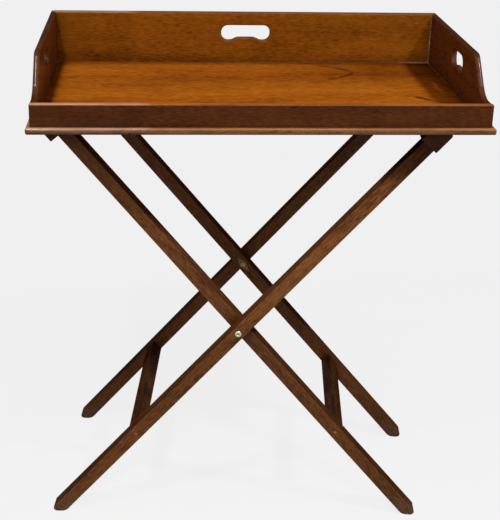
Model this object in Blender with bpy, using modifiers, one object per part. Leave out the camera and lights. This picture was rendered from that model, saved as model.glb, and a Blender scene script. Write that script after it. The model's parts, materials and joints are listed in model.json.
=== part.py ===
"""Butler tray: a mahogany tray lying loose on a folding stand of two crossed frames.

Metres, +Z up, the front towards -Y. The origin is on the floor below the middle of the tray.
The stand's pieces hang from empties on its pivot axis, and the tray's pieces from an empty
under its board, so each moving body turns or lifts about its own joint.
"""
import math

import bmesh
import bpy
from mathutils import Matrix, Vector

# Clearances and cuts
FIT_GAP = 0.0003            # between pieces that touch, and round what sits in a hole
OVERRUN = 0.004             # how far a cut runs past the face that it opens
MERGE_DISTANCE = 0.00001    # points closer than this are one point

# Tray: board and mouldings
TRAY_WIDTH = 0.746          # over the faces of the two ends
TRAY_DEPTH = 0.442          # from the front rail's face to the gallery's back
REST_HEIGHT = 0.771         # floor to the tray's underside
BOARD_THICK = 0.011
MOULDING_REACH = 0.007      # how far the nosed strips stand out from the board's edge
MOULDING_FLAT = 0.0022      # flat part of a strip's top before its nose turns down

# Tray: walls
FACE_THICK = 0.013          # front rail and gallery
END_THICK = 0.010
RAIL_HEIGHT = 0.0375        # front rail above the board
GALLERY_HEIGHT = 0.097      # gallery and ends above the board
EDGE_ROUND = 0.0024         # rounding of the walls' top edges and hand holes
LAP = 0.0035                # wood left in front of each dovetail
FRONT_TAIL_COUNT = 2
BACK_TAIL_COUNT = 4
TAIL_SHARE = 0.6            # a tail's width at its root, of the tail's pitch
TAIL_SLOPE = 1.0 / 6.0      # how fast a tail widens along its length

# Tray: sweep of the ends, from the full height down to the front rail
SWEEP_FOOT = 0.0515         # front face to where the ramp would meet the rail's height
SWEEP_ANGLE = math.radians(46.0)
SHOULDER_RADIUS = 0.022
FLARE_RADIUS = 0.045

# Tray: hand holes
HOLE_WIDTH = 0.094          # in the gallery
END_HOLE_WIDTH = 0.074
HOLE_TOP = 0.0725           # above the board
HOLE_BOTTOM = 0.0435        # above the board, at the two lobes
HOLE_RISE = 0.0055          # how far the middle of the lower edge rises between the lobes
HOLE_END_RADIUS = 0.0130
HOLE_LOBE = 0.029           # width of each lobe, up to the risen middle
HOLE_WAIST_RUN = 0.008      # length of the slope on each side of it
END_HOLE_SHIFT = -0.003     # end holes' centre, behind the tray's middle

# Screws up through the board
SCREW_LENGTH = 0.028
SCREW_CORE = 0.0018         # radius
SCREW_HEAD = 0.0038         # radius
SCREW_TIP = 0.004
SLOT_WIDTH = 0.0009
SLOT_DEPTH = 0.0009
FACE_SCREW_INSET = 0.103    # outer screws of front rail and gallery, from the tray's sides
END_SCREW_INSET = 0.111     # screws of the ends, from the tray's front and back

# Stand
STAND_DEPTH = 0.358         # over the outer legs and the top rails
STAND_SHIFT = -0.0125       # the tray lies this far off the stand's middle
STAND_TURN = math.radians(-5.5)   # and a little askew on it
PIVOT_HEIGHT = 0.389
LEG_LEAN = math.radians(40.65)    # each leg from the upright
LEG_WIDTH = 0.023           # in the plane that the frames turn in
LEG_THICK = 0.028           # along the pivot axis
LEG_CHAMFER = 0.0011
FOOT_HEEL_RADIUS = 0.0065   # at the sharp corner of the foot's level cut
FOOT_TOE_RADIUS = 0.010     # at its blunt corner
SPACER_THICK = 0.001

# Top rails
TOP_RAIL_WIDTH = 0.035
TOP_RAIL_THICK = 0.046      # along the leg, on the outer side; the top is cut level
TOP_RAIL_ROUND = 0.0045     # outer top edge, where the webbing turns over
TOP_RAIL_HEEL = 0.006       # inner top edge
TOP_RAIL_ARRIS = 0.0015
TENON_WIDTH = 0.011
TENON_BREADTH = 0.018       # along the pivot axis
TENON_LENGTH = 0.014

# Stretchers and their pegs
STRETCHER_BELOW = 0.281     # pivot to stretcher, along the leg
STRETCHER_WIDTH = 0.022
STRETCHER_HEIGHT = 0.024    # along the leg
STUB_WIDTH = 0.010
STUB_SHOULDER = 0.003       # above and below each stub
STUB_LENGTH = 0.014
PEG_RADIUS = 0.0028
PEG_LENGTH = 0.034
PEG_PROUD = 0.0004

# Pivots
BOLT_RADIUS = 0.0035
BOLT_HEAD_RADIUS = 0.0062
BOLT_HEAD_HEIGHT = 0.0030
RIVET_RADIUS = 0.0046
RIVET_HEIGHT = 0.0016
ROVE_RADIUS = 0.0056
ROVE_THICK = 0.0009
SPACER_RADIUS = 0.009
PLATE_LENGTH = 0.036
PLATE_WIDTH = 0.0155
PLATE_THICK = 0.0010
PLATE_LET_IN = 0.0008       # depth of the plate's recess

# Webbing and tacks
WEB_WIDTH = 0.050
WEB_THICK = 0.0015
WEB_SPACING = 0.094         # between the bands' centres
WEB_TAIL_SHARE = 0.80       # how far down the rail's outer side a band reaches
TACK_HEAD_RADIUS = 0.0042
TACK_HEAD_HEIGHT = 0.0018
TACK_SHANK_RADIUS = 0.0009
TACK_LENGTH = 0.009
TACK_POINT_SHARE = 0.3      # a tack's pointed part, of its length
TACK_SPREAD = 0.028         # between the two tacks of a band's end
TACK_HEIGHT_SHARE = 0.33    # up the rail's outer side

# Smoothness of round forms
ARC_STEPS = 6               # per rounded corner of an outline
SWEEP_STEPS = 8             # per arc of an end's sweep
TURNED_STEPS = 16
SMALL_STEPS = 12
DOME_STEPS = 3
LOW_DOME_STEPS = 2
BEVEL_STEPS = 2
SMOOTH_ANGLE = math.radians(35.0)
CORNER_ANGLE = math.radians(60.0)     # an edge that turns more than this is a corner
STRAIGHT_ANGLE = math.radians(0.5)    # an outline that turns less than this runs straight
QUARTER_TURN = math.pi / 2.0

# Colours: linear RGB, roughness, metallic
MATERIALS = {
    "floor_mahogany": ((0.250, 0.088, 0.018), 0.30, 0.0),
    "wall_mahogany": ((0.115, 0.032, 0.009), 0.32, 0.0),
    "moulding_mahogany": ((0.200, 0.075, 0.028), 0.28, 0.0),
    "stand_mahogany": ((0.060, 0.022, 0.008), 0.40, 0.0),
    "brass": ((0.560, 0.460, 0.260), 0.34, 1.0),
    "steel": ((0.350, 0.340, 0.320), 0.42, 1.0),
    "webbing": ((0.300, 0.220, 0.130), 0.90, 0.0),
}

# Places worked out from the sizes above
COS_LEAN = math.cos(LEG_LEAN)
SIN_LEAN = math.sin(LEG_LEAN)
HALF_RAIL = TOP_RAIL_WIDTH / 2.0
RAIL_CREST = REST_HEIGHT - PIVOT_HEIGHT - WEB_THICK - 2.0 * FIT_GAP
RAIL_TOP = (RAIL_CREST + HALF_RAIL * SIN_LEAN) / COS_LEAN
RAIL_INNER_TOP = (RAIL_CREST - HALF_RAIL * SIN_LEAN) / COS_LEAN
RAIL_BOTTOM = RAIL_TOP - TOP_RAIL_THICK
LEG_TOP = RAIL_BOTTOM - FIT_GAP
OUTER_LEG_Y = (STAND_DEPTH - LEG_THICK) / 2.0
LEG_PITCH = LEG_THICK + SPACER_THICK + 2.0 * FIT_GAP
INNER_LEG_Y = OUTER_LEG_Y - LEG_PITCH
PLATE_FACE = PLATE_THICK + FIT_GAP - PLATE_LET_IN
HALF_WIDTH = TRAY_WIDTH / 2.0
HALF_DEPTH = TRAY_DEPTH / 2.0
BOARD_TOP = BOARD_THICK + FIT_GAP
TAIL_LENGTH = FACE_THICK - LAP


# Scene and objects

def clear_scene():
    """Remove the objects of the start-up scene."""
    for item in list(bpy.data.objects):
        bpy.data.objects.remove(item, do_unlink=True)


def make_collection(name):
    """Return a new collection linked to the scene."""
    collection = bpy.data.collections.new(name)
    bpy.context.scene.collection.children.link(collection)
    return collection


def make_material(name):
    """Return a plain material in the named colour."""
    colour, roughness, metallic = MATERIALS[name]
    material = bpy.data.materials.new(name)
    material.use_nodes = True
    shader = material.node_tree.nodes["Principled BSDF"]
    shader.inputs["Base Color"].default_value = (*colour, 1.0)
    shader.inputs["Roughness"].default_value = roughness
    shader.inputs["Metallic"].default_value = metallic
    return material


def make_empty(name, collection, parent=None, location=(0.0, 0.0, 0.0), rotation=(0.0, 0.0, 0.0)):
    """Return an empty that carries a body's pieces."""
    empty = bpy.data.objects.new(name, None)
    empty.empty_display_size = LEG_WIDTH
    collection.objects.link(empty)
    empty.parent = parent
    empty.location = location
    empty.rotation_euler = rotation
    return empty


def add_piece(name, mesh, parent, material=None, location=(0.0, 0.0, 0.0), rotation=(0.0, 0.0, 0.0)):
    """Place a mesh as a named piece under its body's empty."""
    piece = bpy.data.objects.new(name, mesh)
    PARTS.objects.link(piece)
    piece.parent = parent
    piece.location = location
    piece.rotation_euler = rotation
    if material:
        mesh.materials.append(material)
    mesh.shade_smooth()
    mesh.set_sharp_from_angle(angle=SMOOTH_ANGLE)
    return piece


def add_cutter(name, mesh, parent, location=(0.0, 0.0, 0.0), rotation=(0.0, 0.0, 0.0)):
    """Place a mesh as a tool for Boolean modifiers."""
    cutter = bpy.data.objects.new(name, mesh)
    CUTTERS.objects.link(cutter)
    cutter.parent = parent
    cutter.location = location
    cutter.rotation_euler = rotation
    cutter.hide_render = True
    cutter.display_type = "WIRE"
    return cutter


def combine(piece, tool, operation="DIFFERENCE"):
    """Cut a tool from a piece, or join the two."""
    modifier = piece.modifiers.new(tool.name, "BOOLEAN")
    modifier.object = tool
    modifier.operation = operation
    modifier.solver = "EXACT"


def bevel_by_angle(piece, width, steps=1):
    """Ease every sharp edge of a piece."""
    modifier = piece.modifiers.new("eased edges", "BEVEL")
    modifier.width = width
    modifier.segments = steps
    modifier.limit_method = "ANGLE"
    modifier.angle_limit = SMOOTH_ANGLE


def bevel_by_weight(piece, width, steps=BEVEL_STEPS):
    """Round the edges that carry a bevel weight."""
    modifier = piece.modifiers.new("rounded edges", "BEVEL")
    modifier.width = width
    modifier.segments = steps
    modifier.limit_method = "WEIGHT"


# Outlines

def rounded_outline(corners, steps=ARC_STEPS):
    """Return an outline from (x, y, radius) corners, each rounded by an arc."""
    points = []
    for index, (x, y, radius) in enumerate(corners):
        here = Vector((x, y))
        before = Vector(corners[index - 1][:2]) - here
        after = Vector(corners[(index + 1) % len(corners)][:2]) - here
        turn = before.angle(after)
        if radius <= 0.0 or math.pi - turn < STRAIGHT_ANGLE:
            points.append(here)
            continue
        reach = radius / math.tan(turn / 2.0)
        start = here + before.normalized() * reach
        end = here + after.normalized() * reach
        centre = here + (before.normalized() + after.normalized()).normalized() * (
            radius / math.sin(turn / 2.0)
        )
        sweep = (start - centre).angle_signed(end - centre)
        for step in range(steps + 1):
            arm = (start - centre).copy()
            arm.rotate(Matrix.Rotation(-sweep * step / steps, 2))
            points.append(centre + arm)
    return points


def arc_points(centre, radius, start, end, steps):
    """Return points along an arc, with angles in radians."""
    return [
        Vector((
            centre[0] + radius * math.cos(start + (end - start) * step / steps),
            centre[1] + radius * math.sin(start + (end - start) * step / steps),
        ))
        for step in range(steps + 1)
    ]


def slab_mesh(name, loops, thickness):
    """Return a closed slab in the XY plane: outlines filled, and thickness split about z = 0."""
    curve = bpy.data.curves.new(name, "CURVE")
    curve.dimensions = "2D"
    curve.fill_mode = "BOTH"
    curve.extrude = thickness / 2.0
    for loop in loops:
        spline = curve.splines.new("POLY")
        spline.points.add(len(loop) - 1)
        for point, (x, y) in zip(spline.points, loop):
            point.co = (x, y, 0.0, 1.0)
        spline.use_cyclic_u = True
    holder = bpy.data.objects.new(name, curve)
    bpy.context.scene.collection.objects.link(holder)
    depsgraph = bpy.context.evaluated_depsgraph_get()
    mesh = bpy.data.meshes.new_from_object(holder.evaluated_get(depsgraph))
    bpy.data.objects.remove(holder, do_unlink=True)
    bpy.data.curves.remove(curve)
    mesh.name = name
    shell = bmesh.new()
    shell.from_mesh(mesh)
    bmesh.ops.remove_doubles(shell, verts=shell.verts, dist=MERGE_DISTANCE)
    bmesh.ops.dissolve_limit(
        shell, angle_limit=STRAIGHT_ANGLE, verts=shell.verts, edges=shell.edges
    )
    bmesh.ops.recalc_face_normals(shell, faces=shell.faces)
    shell.to_mesh(mesh)
    shell.free()
    return mesh


def turn_mesh(mesh, angle, axis):
    """Turn a mesh about one of its own axes."""
    mesh.transform(Matrix.Rotation(angle, 4, axis))
    return mesh


def upright_slab(name, loops, thickness):
    """Return a slab whose outline stands in the XZ plane."""
    return turn_mesh(slab_mesh(name, loops, thickness), QUARTER_TURN, "X")


def side_slab(name, loops, thickness):
    """Return a slab whose outline (y, z) stands in the YZ plane."""
    return turn_mesh(upright_slab(name, loops, thickness), QUARTER_TURN, "Z")


def box_mesh(name, size, centre=(0.0, 0.0, 0.0)):
    """Return a box from a cube."""
    mesh = bpy.data.meshes.new(name)
    shell = bmesh.new()
    bmesh.ops.create_cube(shell, size=1.0)
    bmesh.ops.scale(shell, vec=size, verts=shell.verts)
    bmesh.ops.translate(shell, vec=centre, verts=shell.verts)
    shell.to_mesh(mesh)
    shell.free()
    return mesh


def profile_mesh(name, profile, closed=False):
    """Return a turned shape's profile of (radius, height) points, top to bottom."""
    mesh = bpy.data.meshes.new(name)
    shell = bmesh.new()
    points = [shell.verts.new((radius, 0.0, height)) for radius, height in profile]
    for first, second in zip(points, points[1:]):
        shell.edges.new((first, second))
    if closed:
        shell.edges.new((points[-1], points[0]))
    shell.to_mesh(mesh)
    shell.free()
    return mesh


def spin_profile(piece, steps):
    """Turn a profile about its own Z axis."""
    modifier = piece.modifiers.new("turned", "SCREW")
    modifier.axis = "Z"
    modifier.steps = steps
    modifier.render_steps = steps
    modifier.use_merge_vertices = True
    modifier.merge_threshold = MERGE_DISTANCE


def dome_profile(radius, height, base, steps=DOME_STEPS):
    """Return a dome's profile from its top to its rim."""
    angles = (QUARTER_TURN * step / steps for step in range(steps + 1))
    return [(radius * math.sin(angle), base + height * math.cos(angle)) for angle in angles]


def mark_edges(mesh, wanted):
    """Give a bevel weight to the sharp edges whose two ends pass a test."""
    shell = bmesh.new()
    shell.from_mesh(mesh)
    weights = shell.edges.layers.float.new("bevel_weight_edge")
    for edge in shell.edges:
        if edge.calc_face_angle(0.0) > CORNER_ANGLE and wanted(*(v.co for v in edge.verts)):
            edge[weights] = 1.0
    shell.to_mesh(mesh)
    shell.free()


# Tray walls

def tail_shape(height, count, index):
    """Return a tail's (low root, low tip, high tip, high root) heights on a joint."""
    pitch = height / count
    root = pitch * TAIL_SHARE / 2.0
    tip = root + TAIL_LENGTH * TAIL_SLOPE
    middle = pitch * (index + 0.5)
    return middle - root, middle - tip, middle + tip, middle + root


def tail_edge(root_y, outward, height, count):
    """Return the zigzag (y, z) points of a dovetailed end, from the bottom up."""
    points = [Vector((root_y, 0.0))]
    tip_y = root_y + outward * TAIL_LENGTH
    for index in range(count):
        low_root, low_tip, high_tip, high_root = tail_shape(height, count, index)
        points += [
            Vector((root_y, low_root)),
            Vector((tip_y, low_tip)),
            Vector((tip_y, high_tip)),
            Vector((root_y, high_root)),
        ]
    points.append(Vector((root_y, height)))
    return points


def socket_loops(root_y, outward, height, count):
    """Return the outlines of the sockets that a joint's tails sit in, with clearance."""
    loops = []
    tip_y = root_y + outward * (TAIL_LENGTH + FIT_GAP)
    mouth_y = root_y - outward * OVERRUN
    for index in range(count):
        low_root, low_tip, high_tip, high_root = tail_shape(height, count, index)
        drift = OVERRUN * TAIL_SLOPE
        loops.append([
            Vector((mouth_y, low_root - FIT_GAP + drift)),
            Vector((tip_y, low_tip - FIT_GAP)),
            Vector((tip_y, high_tip + FIT_GAP)),
            Vector((mouth_y, high_root + FIT_GAP - drift)),
        ])
    return loops


def hand_hole_loop(centre, width):
    """Return the kidney-shaped outline of a hand hole: round ends and a risen lower middle."""
    half = width / 2.0
    inner = half - HOLE_LOBE
    knee = HOLE_WAIST_RUN
    corners = [
        (-half, HOLE_TOP, HOLE_END_RADIUS),
        (half, HOLE_TOP, HOLE_END_RADIUS),
        (half, HOLE_BOTTOM, HOLE_END_RADIUS),
        (inner + knee, HOLE_BOTTOM, knee),
        (inner, HOLE_BOTTOM + HOLE_RISE, knee),
        (-inner, HOLE_BOTTOM + HOLE_RISE, knee),
        (-inner - knee, HOLE_BOTTOM, knee),
        (-half, HOLE_BOTTOM, HOLE_END_RADIUS),
    ]
    return rounded_outline([(centre + x, y, radius) for x, y, radius in corners])


def sweep_points():
    """Return the (y, z) points of an end's top, from the front rail back to the gallery."""
    rail_back = -HALF_DEPTH + FACE_THICK + FIT_GAP
    gallery_front = HALF_DEPTH - FACE_THICK - FIT_GAP
    foot_y = -HALF_DEPTH + SWEEP_FOOT
    rise = GALLERY_HEIGHT - RAIL_HEIGHT
    head_y = foot_y + rise / math.tan(SWEEP_ANGLE)
    half_turn = math.tan(SWEEP_ANGLE / 2.0)
    flare_start = foot_y - FLARE_RADIUS * half_turn
    shoulder_end = head_y + SHOULDER_RADIUS * half_turn
    flare = arc_points(
        (flare_start, RAIL_HEIGHT + FLARE_RADIUS), FLARE_RADIUS,
        -QUARTER_TURN, SWEEP_ANGLE - QUARTER_TURN, SWEEP_STEPS,
    )
    shoulder = arc_points(
        (shoulder_end, GALLERY_HEIGHT - SHOULDER_RADIUS), SHOULDER_RADIUS,
        SWEEP_ANGLE + QUARTER_TURN, QUARTER_TURN, SWEEP_STEPS,
    )
    return (
        [Vector((rail_back, RAIL_HEIGHT))] + flare + shoulder
        + [Vector((gallery_front, GALLERY_HEIGHT))]
    )


def on_hole(point, centre, width, across):
    """Tell whether a point lies on a hand hole's rim, whose run is along one axis."""
    run = abs(point[across] - centre)
    return run < width / 2.0 + FIT_GAP and HOLE_BOTTOM - FIT_GAP < point.z < HOLE_TOP + FIT_GAP


def on_end_top_or_hole(first, second):
    """Tell whether an edge of an end runs along its top, between its joints, or a hole's rim."""
    ends = (first, second)
    along = abs(first.x - second.x) < FIT_GAP
    rim = all(on_hole(point, END_HOLE_SHIFT, END_HOLE_WIDTH, 1) for point in ends)
    high = all(point.z > RAIL_HEIGHT - FIT_GAP for point in ends)
    root = HALF_DEPTH - FACE_THICK - FIT_GAP
    between = all(abs(point.y) < root + FIT_GAP for point in ends)
    at_joint = all(abs(point.y) > root - FIT_GAP for point in ends)
    return along and (rim or (high and between and not at_joint))


def build_end(name, side, parent, material):
    """Build an end of the tray: swept top, hand hole, and tails at front and back."""
    rail_back = -HALF_DEPTH + FACE_THICK + FIT_GAP
    gallery_front = HALF_DEPTH - FACE_THICK - FIT_GAP
    outline = tail_edge(rail_back, -1.0, RAIL_HEIGHT, FRONT_TAIL_COUNT)[:-1]
    outline += sweep_points()
    outline += reversed(tail_edge(gallery_front, 1.0, GALLERY_HEIGHT, BACK_TAIL_COUNT)[:-1])
    mesh = side_slab(name, [outline, hand_hole_loop(END_HOLE_SHIFT, END_HOLE_WIDTH)], END_THICK)
    mark_edges(mesh, on_end_top_or_hole)
    place = side * (HALF_WIDTH - END_THICK / 2.0)
    piece = add_piece(name, mesh, parent, material, (place, 0.0, BOARD_TOP))
    bevel_by_weight(piece, EDGE_ROUND)
    return piece


def cut_sockets(piece, face, height, count, parent):
    """Cut the sockets for both ends' tails in the front rail (face -1) or the gallery (+1)."""
    root_y = face * (HALF_DEPTH - FACE_THICK - FIT_GAP)
    depth = END_THICK + FIT_GAP + OVERRUN
    for side in (-1.0, 1.0):
        label = f"{piece.name}_sockets_{'left' if side < 0.0 else 'right'}"
        mesh = side_slab(label, socket_loops(root_y, face, height, count), depth)
        centre = side * (HALF_WIDTH + OVERRUN - depth / 2.0)
        combine(piece, add_cutter(label, mesh, parent, (centre, 0.0, BOARD_TOP)))


def build_rail(parent, material):
    """Build the low front rail: a bar with a rounded top, run the width of the tray."""
    section = rounded_outline([
        (-HALF_DEPTH, 0.0, 0.0),
        (-HALF_DEPTH, RAIL_HEIGHT, EDGE_ROUND),
        (-HALF_DEPTH + FACE_THICK, RAIL_HEIGHT, EDGE_ROUND),
        (-HALF_DEPTH + FACE_THICK, 0.0, 0.0),
    ], steps=BEVEL_STEPS)
    mesh = side_slab("tray_rail_front", [section], TRAY_WIDTH)
    piece = add_piece("tray_rail_front", mesh, parent, material, (0.0, 0.0, BOARD_TOP))
    cut_sockets(piece, -1.0, RAIL_HEIGHT, FRONT_TAIL_COUNT, parent)
    return piece


def on_gallery_top_or_hole(first, second):
    """Tell whether an edge of the gallery runs along its top or its hand hole's rim."""
    along = abs(first.y - second.y) < FIT_GAP
    rim = all(on_hole(point, 0.0, HOLE_WIDTH, 0) for point in (first, second))
    top = min(first.z, second.z) > GALLERY_HEIGHT - FIT_GAP
    return along and (rim or top)


def build_gallery(parent, material):
    """Build the tall back with its hand hole."""
    outline = [
        Vector((-HALF_WIDTH, 0.0)), Vector((HALF_WIDTH, 0.0)),
        Vector((HALF_WIDTH, GALLERY_HEIGHT)), Vector((-HALF_WIDTH, GALLERY_HEIGHT)),
    ]
    mesh = upright_slab("gallery_back", [outline, hand_hole_loop(0.0, HOLE_WIDTH)], FACE_THICK)
    mark_edges(mesh, on_gallery_top_or_hole)
    place = (0.0, HALF_DEPTH - FACE_THICK / 2.0, BOARD_TOP)
    piece = add_piece("gallery_back", mesh, parent, material, place)
    bevel_by_weight(piece, EDGE_ROUND)
    cut_sockets(piece, 1.0, GALLERY_HEIGHT, BACK_TAIL_COUNT, parent)
    return piece


# Tray board and mouldings

def build_board(parent, material):
    """Build the board that the walls stand on."""
    size = (TRAY_WIDTH, TRAY_DEPTH, BOARD_THICK)
    mesh = box_mesh("tray_board", size, (0.0, 0.0, BOARD_THICK / 2.0))
    return add_piece("tray_board", mesh, parent, material)


def moulding_section():
    """Return a strip's section: x outwards from the board, y up, with a round nose."""
    nose = BOARD_THICK / 2.0
    reach = MOULDING_REACH - MOULDING_FLAT
    bow = [
        Vector((MOULDING_FLAT + reach * point.x, nose + nose * point.y))
        for point in arc_points((0.0, 0.0), 1.0, QUARTER_TURN, -QUARTER_TURN, 2 * ARC_STEPS)
    ]
    return [Vector((0.0, BOARD_THICK))] + bow + [Vector((0.0, 0.0))]


def build_moulding(name, length, distance, turn, parent, material):
    """Build a strip along one edge of the board, with its ends cut to a mitre."""
    mesh = side_slab(name, [moulding_section()], length)
    mitre_gap = FIT_GAP * math.sqrt(0.5)
    for vertex in mesh.vertices:
        vertex.co.x += math.copysign(vertex.co.y + FIT_GAP - mitre_gap, vertex.co.x)
    turn_mesh(mesh, 2.0 * QUARTER_TURN, "Z")
    offset = Matrix.Translation((0.0, -distance - FIT_GAP, 0.0))
    mesh.transform(Matrix.Rotation(turn, 4, "Z") @ offset)
    return add_piece(name, mesh, parent, material)


def build_mouldings(parent, material):
    """Plant the four strips round the board."""
    turned_back = 2.0 * QUARTER_TURN
    build_moulding("moulding_front", TRAY_WIDTH, HALF_DEPTH, 0.0, parent, material)
    build_moulding("moulding_right", TRAY_DEPTH, HALF_WIDTH, QUARTER_TURN, parent, material)
    build_moulding("moulding_back", TRAY_WIDTH, HALF_DEPTH, turned_back, parent, material)
    build_moulding("moulding_left", TRAY_DEPTH, HALF_WIDTH, -QUARTER_TURN, parent, material)


# Screws

def screw_profile(grow=0.0, overrun=0.0):
    """Return a countersunk screw's profile, tip up, or its hole's with clearance."""
    core = SCREW_CORE + grow
    head = SCREW_HEAD + grow
    return [
        (0.0, SCREW_LENGTH + grow),
        (core, SCREW_LENGTH - SCREW_TIP + grow),
        (core, SCREW_HEAD - SCREW_CORE + grow),
        (head, grow),
        (head, -overrun),
        (0.0, -overrun),
    ]


def build_screw(name, place, walls, parent, material):
    """Drive a screw through the board into a wall, in a hole of its own."""
    hole = add_cutter(
        f"{name}_hole", profile_mesh(f"{name}_hole", screw_profile(FIT_GAP, OVERRUN)), parent, place
    )
    spin_profile(hole, SMALL_STEPS)
    for wall in walls:
        combine(wall, hole)
    screw = add_piece(name, profile_mesh(name, screw_profile()), parent, material, place)
    spin_profile(screw, SMALL_STEPS)
    slot_size = (SCREW_HEAD * 2.0 + OVERRUN, SLOT_WIDTH, SLOT_DEPTH * 2.0)
    slot = add_cutter(f"{name}_slot", box_mesh(f"{name}_slot", slot_size), parent, place)
    combine(screw, slot)


def build_screws(board, rail, gallery, ends, parent, material):
    """Fasten the board to the four walls."""
    line_y = HALF_DEPTH - FACE_THICK / 2.0
    line_x = HALF_WIDTH - END_THICK / 2.0
    face_x = HALF_WIDTH - FACE_SCREW_INSET
    end_y = HALF_DEPTH - END_SCREW_INSET
    for index, x in enumerate((-face_x, 0.0, face_x), start=1):
        build_screw(f"board_screw_front_{index}", (x, -line_y, 0.0), (board, rail), parent, material)
        build_screw(f"board_screw_back_{index}", (x, line_y, 0.0), (board, gallery), parent, material)
    for index, y in enumerate((-end_y, end_y), start=1):
        for end, side, label in zip(ends, (-1.0, 1.0), ("left", "right")):
            place = (side * line_x, y, 0.0)
            build_screw(f"board_screw_{label}_{index}", place, (board, end), parent, material)


# Stand: legs, rails and stretchers. In a frame's own axes Z runs up the leg, Y along the
# pivot, and X across the leg. low is +1 where the leg's lower side faces +X, else -1.

def leg_outline(low):
    """Return a leg's outline: square top, and a foot cut level and eased."""
    half = LEG_WIDTH / 2.0
    heel_z = -(PIVOT_HEIGHT + half * SIN_LEAN) / COS_LEAN
    toe_z = -(PIVOT_HEIGHT - half * SIN_LEAN) / COS_LEAN
    corners = [
        (-half, LEG_TOP, 0.0),
        (-half, heel_z, FOOT_HEEL_RADIUS),
        (half, toe_z, FOOT_TOE_RADIUS),
        (half, LEG_TOP, 0.0),
    ]
    return rounded_outline([(low * x, z, radius) for x, z, radius in corners])


def lozenge_outline(grow=0.0):
    """Return a pivot plate's outline, long way up the leg."""
    long_half = PLATE_LENGTH / 2.0 + grow * PLATE_LENGTH / PLATE_WIDTH
    short_half = PLATE_WIDTH / 2.0 + grow
    return [
        Vector((0.0, -long_half)), Vector((short_half, 0.0)),
        Vector((0.0, long_half)), Vector((-short_half, 0.0)),
    ]


def bar_mesh(name, radius, length, steps=TURNED_STEPS):
    """Return a round bar along Z, centred on its place."""
    mesh = bpy.data.meshes.new(name)
    shell = bmesh.new()
    bmesh.ops.create_cone(
        shell, cap_ends=True, segments=steps, radius1=radius, radius2=radius, depth=length
    )
    shell.to_mesh(mesh)
    shell.free()
    return mesh


def bar_cutter(name, radius, length, parent, place):
    """Return a round cutter whose length lies along Y, centred on its place."""
    return add_cutter(name, bar_mesh(name, radius, length), parent, place, (QUARTER_TURN, 0.0, 0.0))


def build_leg(name, low, y, plate_side, parent, material):
    """Build a leg with its tenon, bolt hole, plate recess and stretcher mortise."""
    mesh = upright_slab(name, [leg_outline(low)], LEG_THICK)
    leg = add_piece(name, mesh, parent, material, (0.0, y, 0.0))
    bevel_by_angle(leg, LEG_CHAMFER)
    tenon_size = (TENON_WIDTH, TENON_BREADTH, 2.0 * TENON_LENGTH)
    tenon = add_cutter(
        f"{name}_tenon", box_mesh(f"{name}_tenon", tenon_size), parent, (0.0, y, LEG_TOP)
    )
    combine(leg, tenon, "UNION")
    reach = LEG_THICK + 2.0 * OVERRUN
    combine(leg, bar_cutter(f"{name}_bore", BOLT_RADIUS + FIT_GAP, reach, parent, (0.0, y, 0.0)))
    recess_depth = PLATE_LET_IN + OVERRUN
    recess_y = y + plate_side * (LEG_THICK / 2.0 - PLATE_LET_IN + recess_depth / 2.0)
    recess_mesh = upright_slab(f"{name}_recess", [lozenge_outline(FIT_GAP)], recess_depth)
    combine(leg, add_cutter(f"{name}_recess", recess_mesh, parent, (0.0, recess_y, 0.0)))
    return leg


def build_top_rail(name, low, leg_ys, parent, material):
    """Build a rail across the tops of two legs, its top level when the stand is open."""
    corners = (
        (-HALF_RAIL, RAIL_BOTTOM, TOP_RAIL_ARRIS),
        (HALF_RAIL, RAIL_BOTTOM, TOP_RAIL_ARRIS),
        (HALF_RAIL, RAIL_TOP, TOP_RAIL_ROUND),
        (-HALF_RAIL, RAIL_INNER_TOP, TOP_RAIL_HEEL),
    )
    section = rounded_outline([(low * x, z, radius) for x, z, radius in corners])
    mesh = upright_slab(name, [section], STAND_DEPTH)
    rail = add_piece(name, mesh, parent, material)
    bevel_by_angle(rail, LEG_CHAMFER)
    size = (
        TENON_WIDTH + 2.0 * FIT_GAP,
        TENON_BREADTH + 2.0 * FIT_GAP,
        TENON_LENGTH + FIT_GAP + OVERRUN,
    )
    top = LEG_TOP + TENON_LENGTH + FIT_GAP
    for index, y in enumerate(leg_ys, start=1):
        label = f"{name}_mortise_{index}"
        place = (0.0, y, top - size[2] / 2.0)
        combine(rail, add_cutter(label, box_mesh(label, size), parent, place))
    return rail


def build_stretcher(name, legs, leg_y, parent, material):
    """Build a low cross bar with a stub at each end, and cut the legs for the stubs."""
    half_bar = leg_y - LEG_THICK / 2.0 - FIT_GAP
    bar = box_mesh(name, (STRETCHER_WIDTH, 2.0 * half_bar, STRETCHER_HEIGHT))
    stretcher = add_piece(name, bar, parent, material, (0.0, 0.0, -STRETCHER_BELOW))
    bevel_by_angle(stretcher, LEG_CHAMFER)
    stub_height = STRETCHER_HEIGHT - 2.0 * STUB_SHOULDER
    stub_size = (STUB_WIDTH, 2.0 * STUB_LENGTH, stub_height)
    depth = STUB_LENGTH + 2.0 * FIT_GAP + OVERRUN
    mortise_size = (STUB_WIDTH + 2.0 * FIT_GAP, depth, stub_height + 2.0 * FIT_GAP)
    for leg, side in zip(legs, (-1.0, 1.0)):
        stub_name = f"{leg.name}_stub"
        stub_place = (0.0, side * half_bar, -STRETCHER_BELOW)
        stub = add_cutter(stub_name, box_mesh(stub_name, stub_size), parent, stub_place)
        combine(stretcher, stub, "UNION")
        label = f"{leg.name}_mortise"
        mortise_place = (0.0, side * (half_bar - OVERRUN + depth / 2.0), -STRETCHER_BELOW)
        combine(leg, add_cutter(label, box_mesh(label, mortise_size), parent, mortise_place))
    return stretcher


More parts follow.
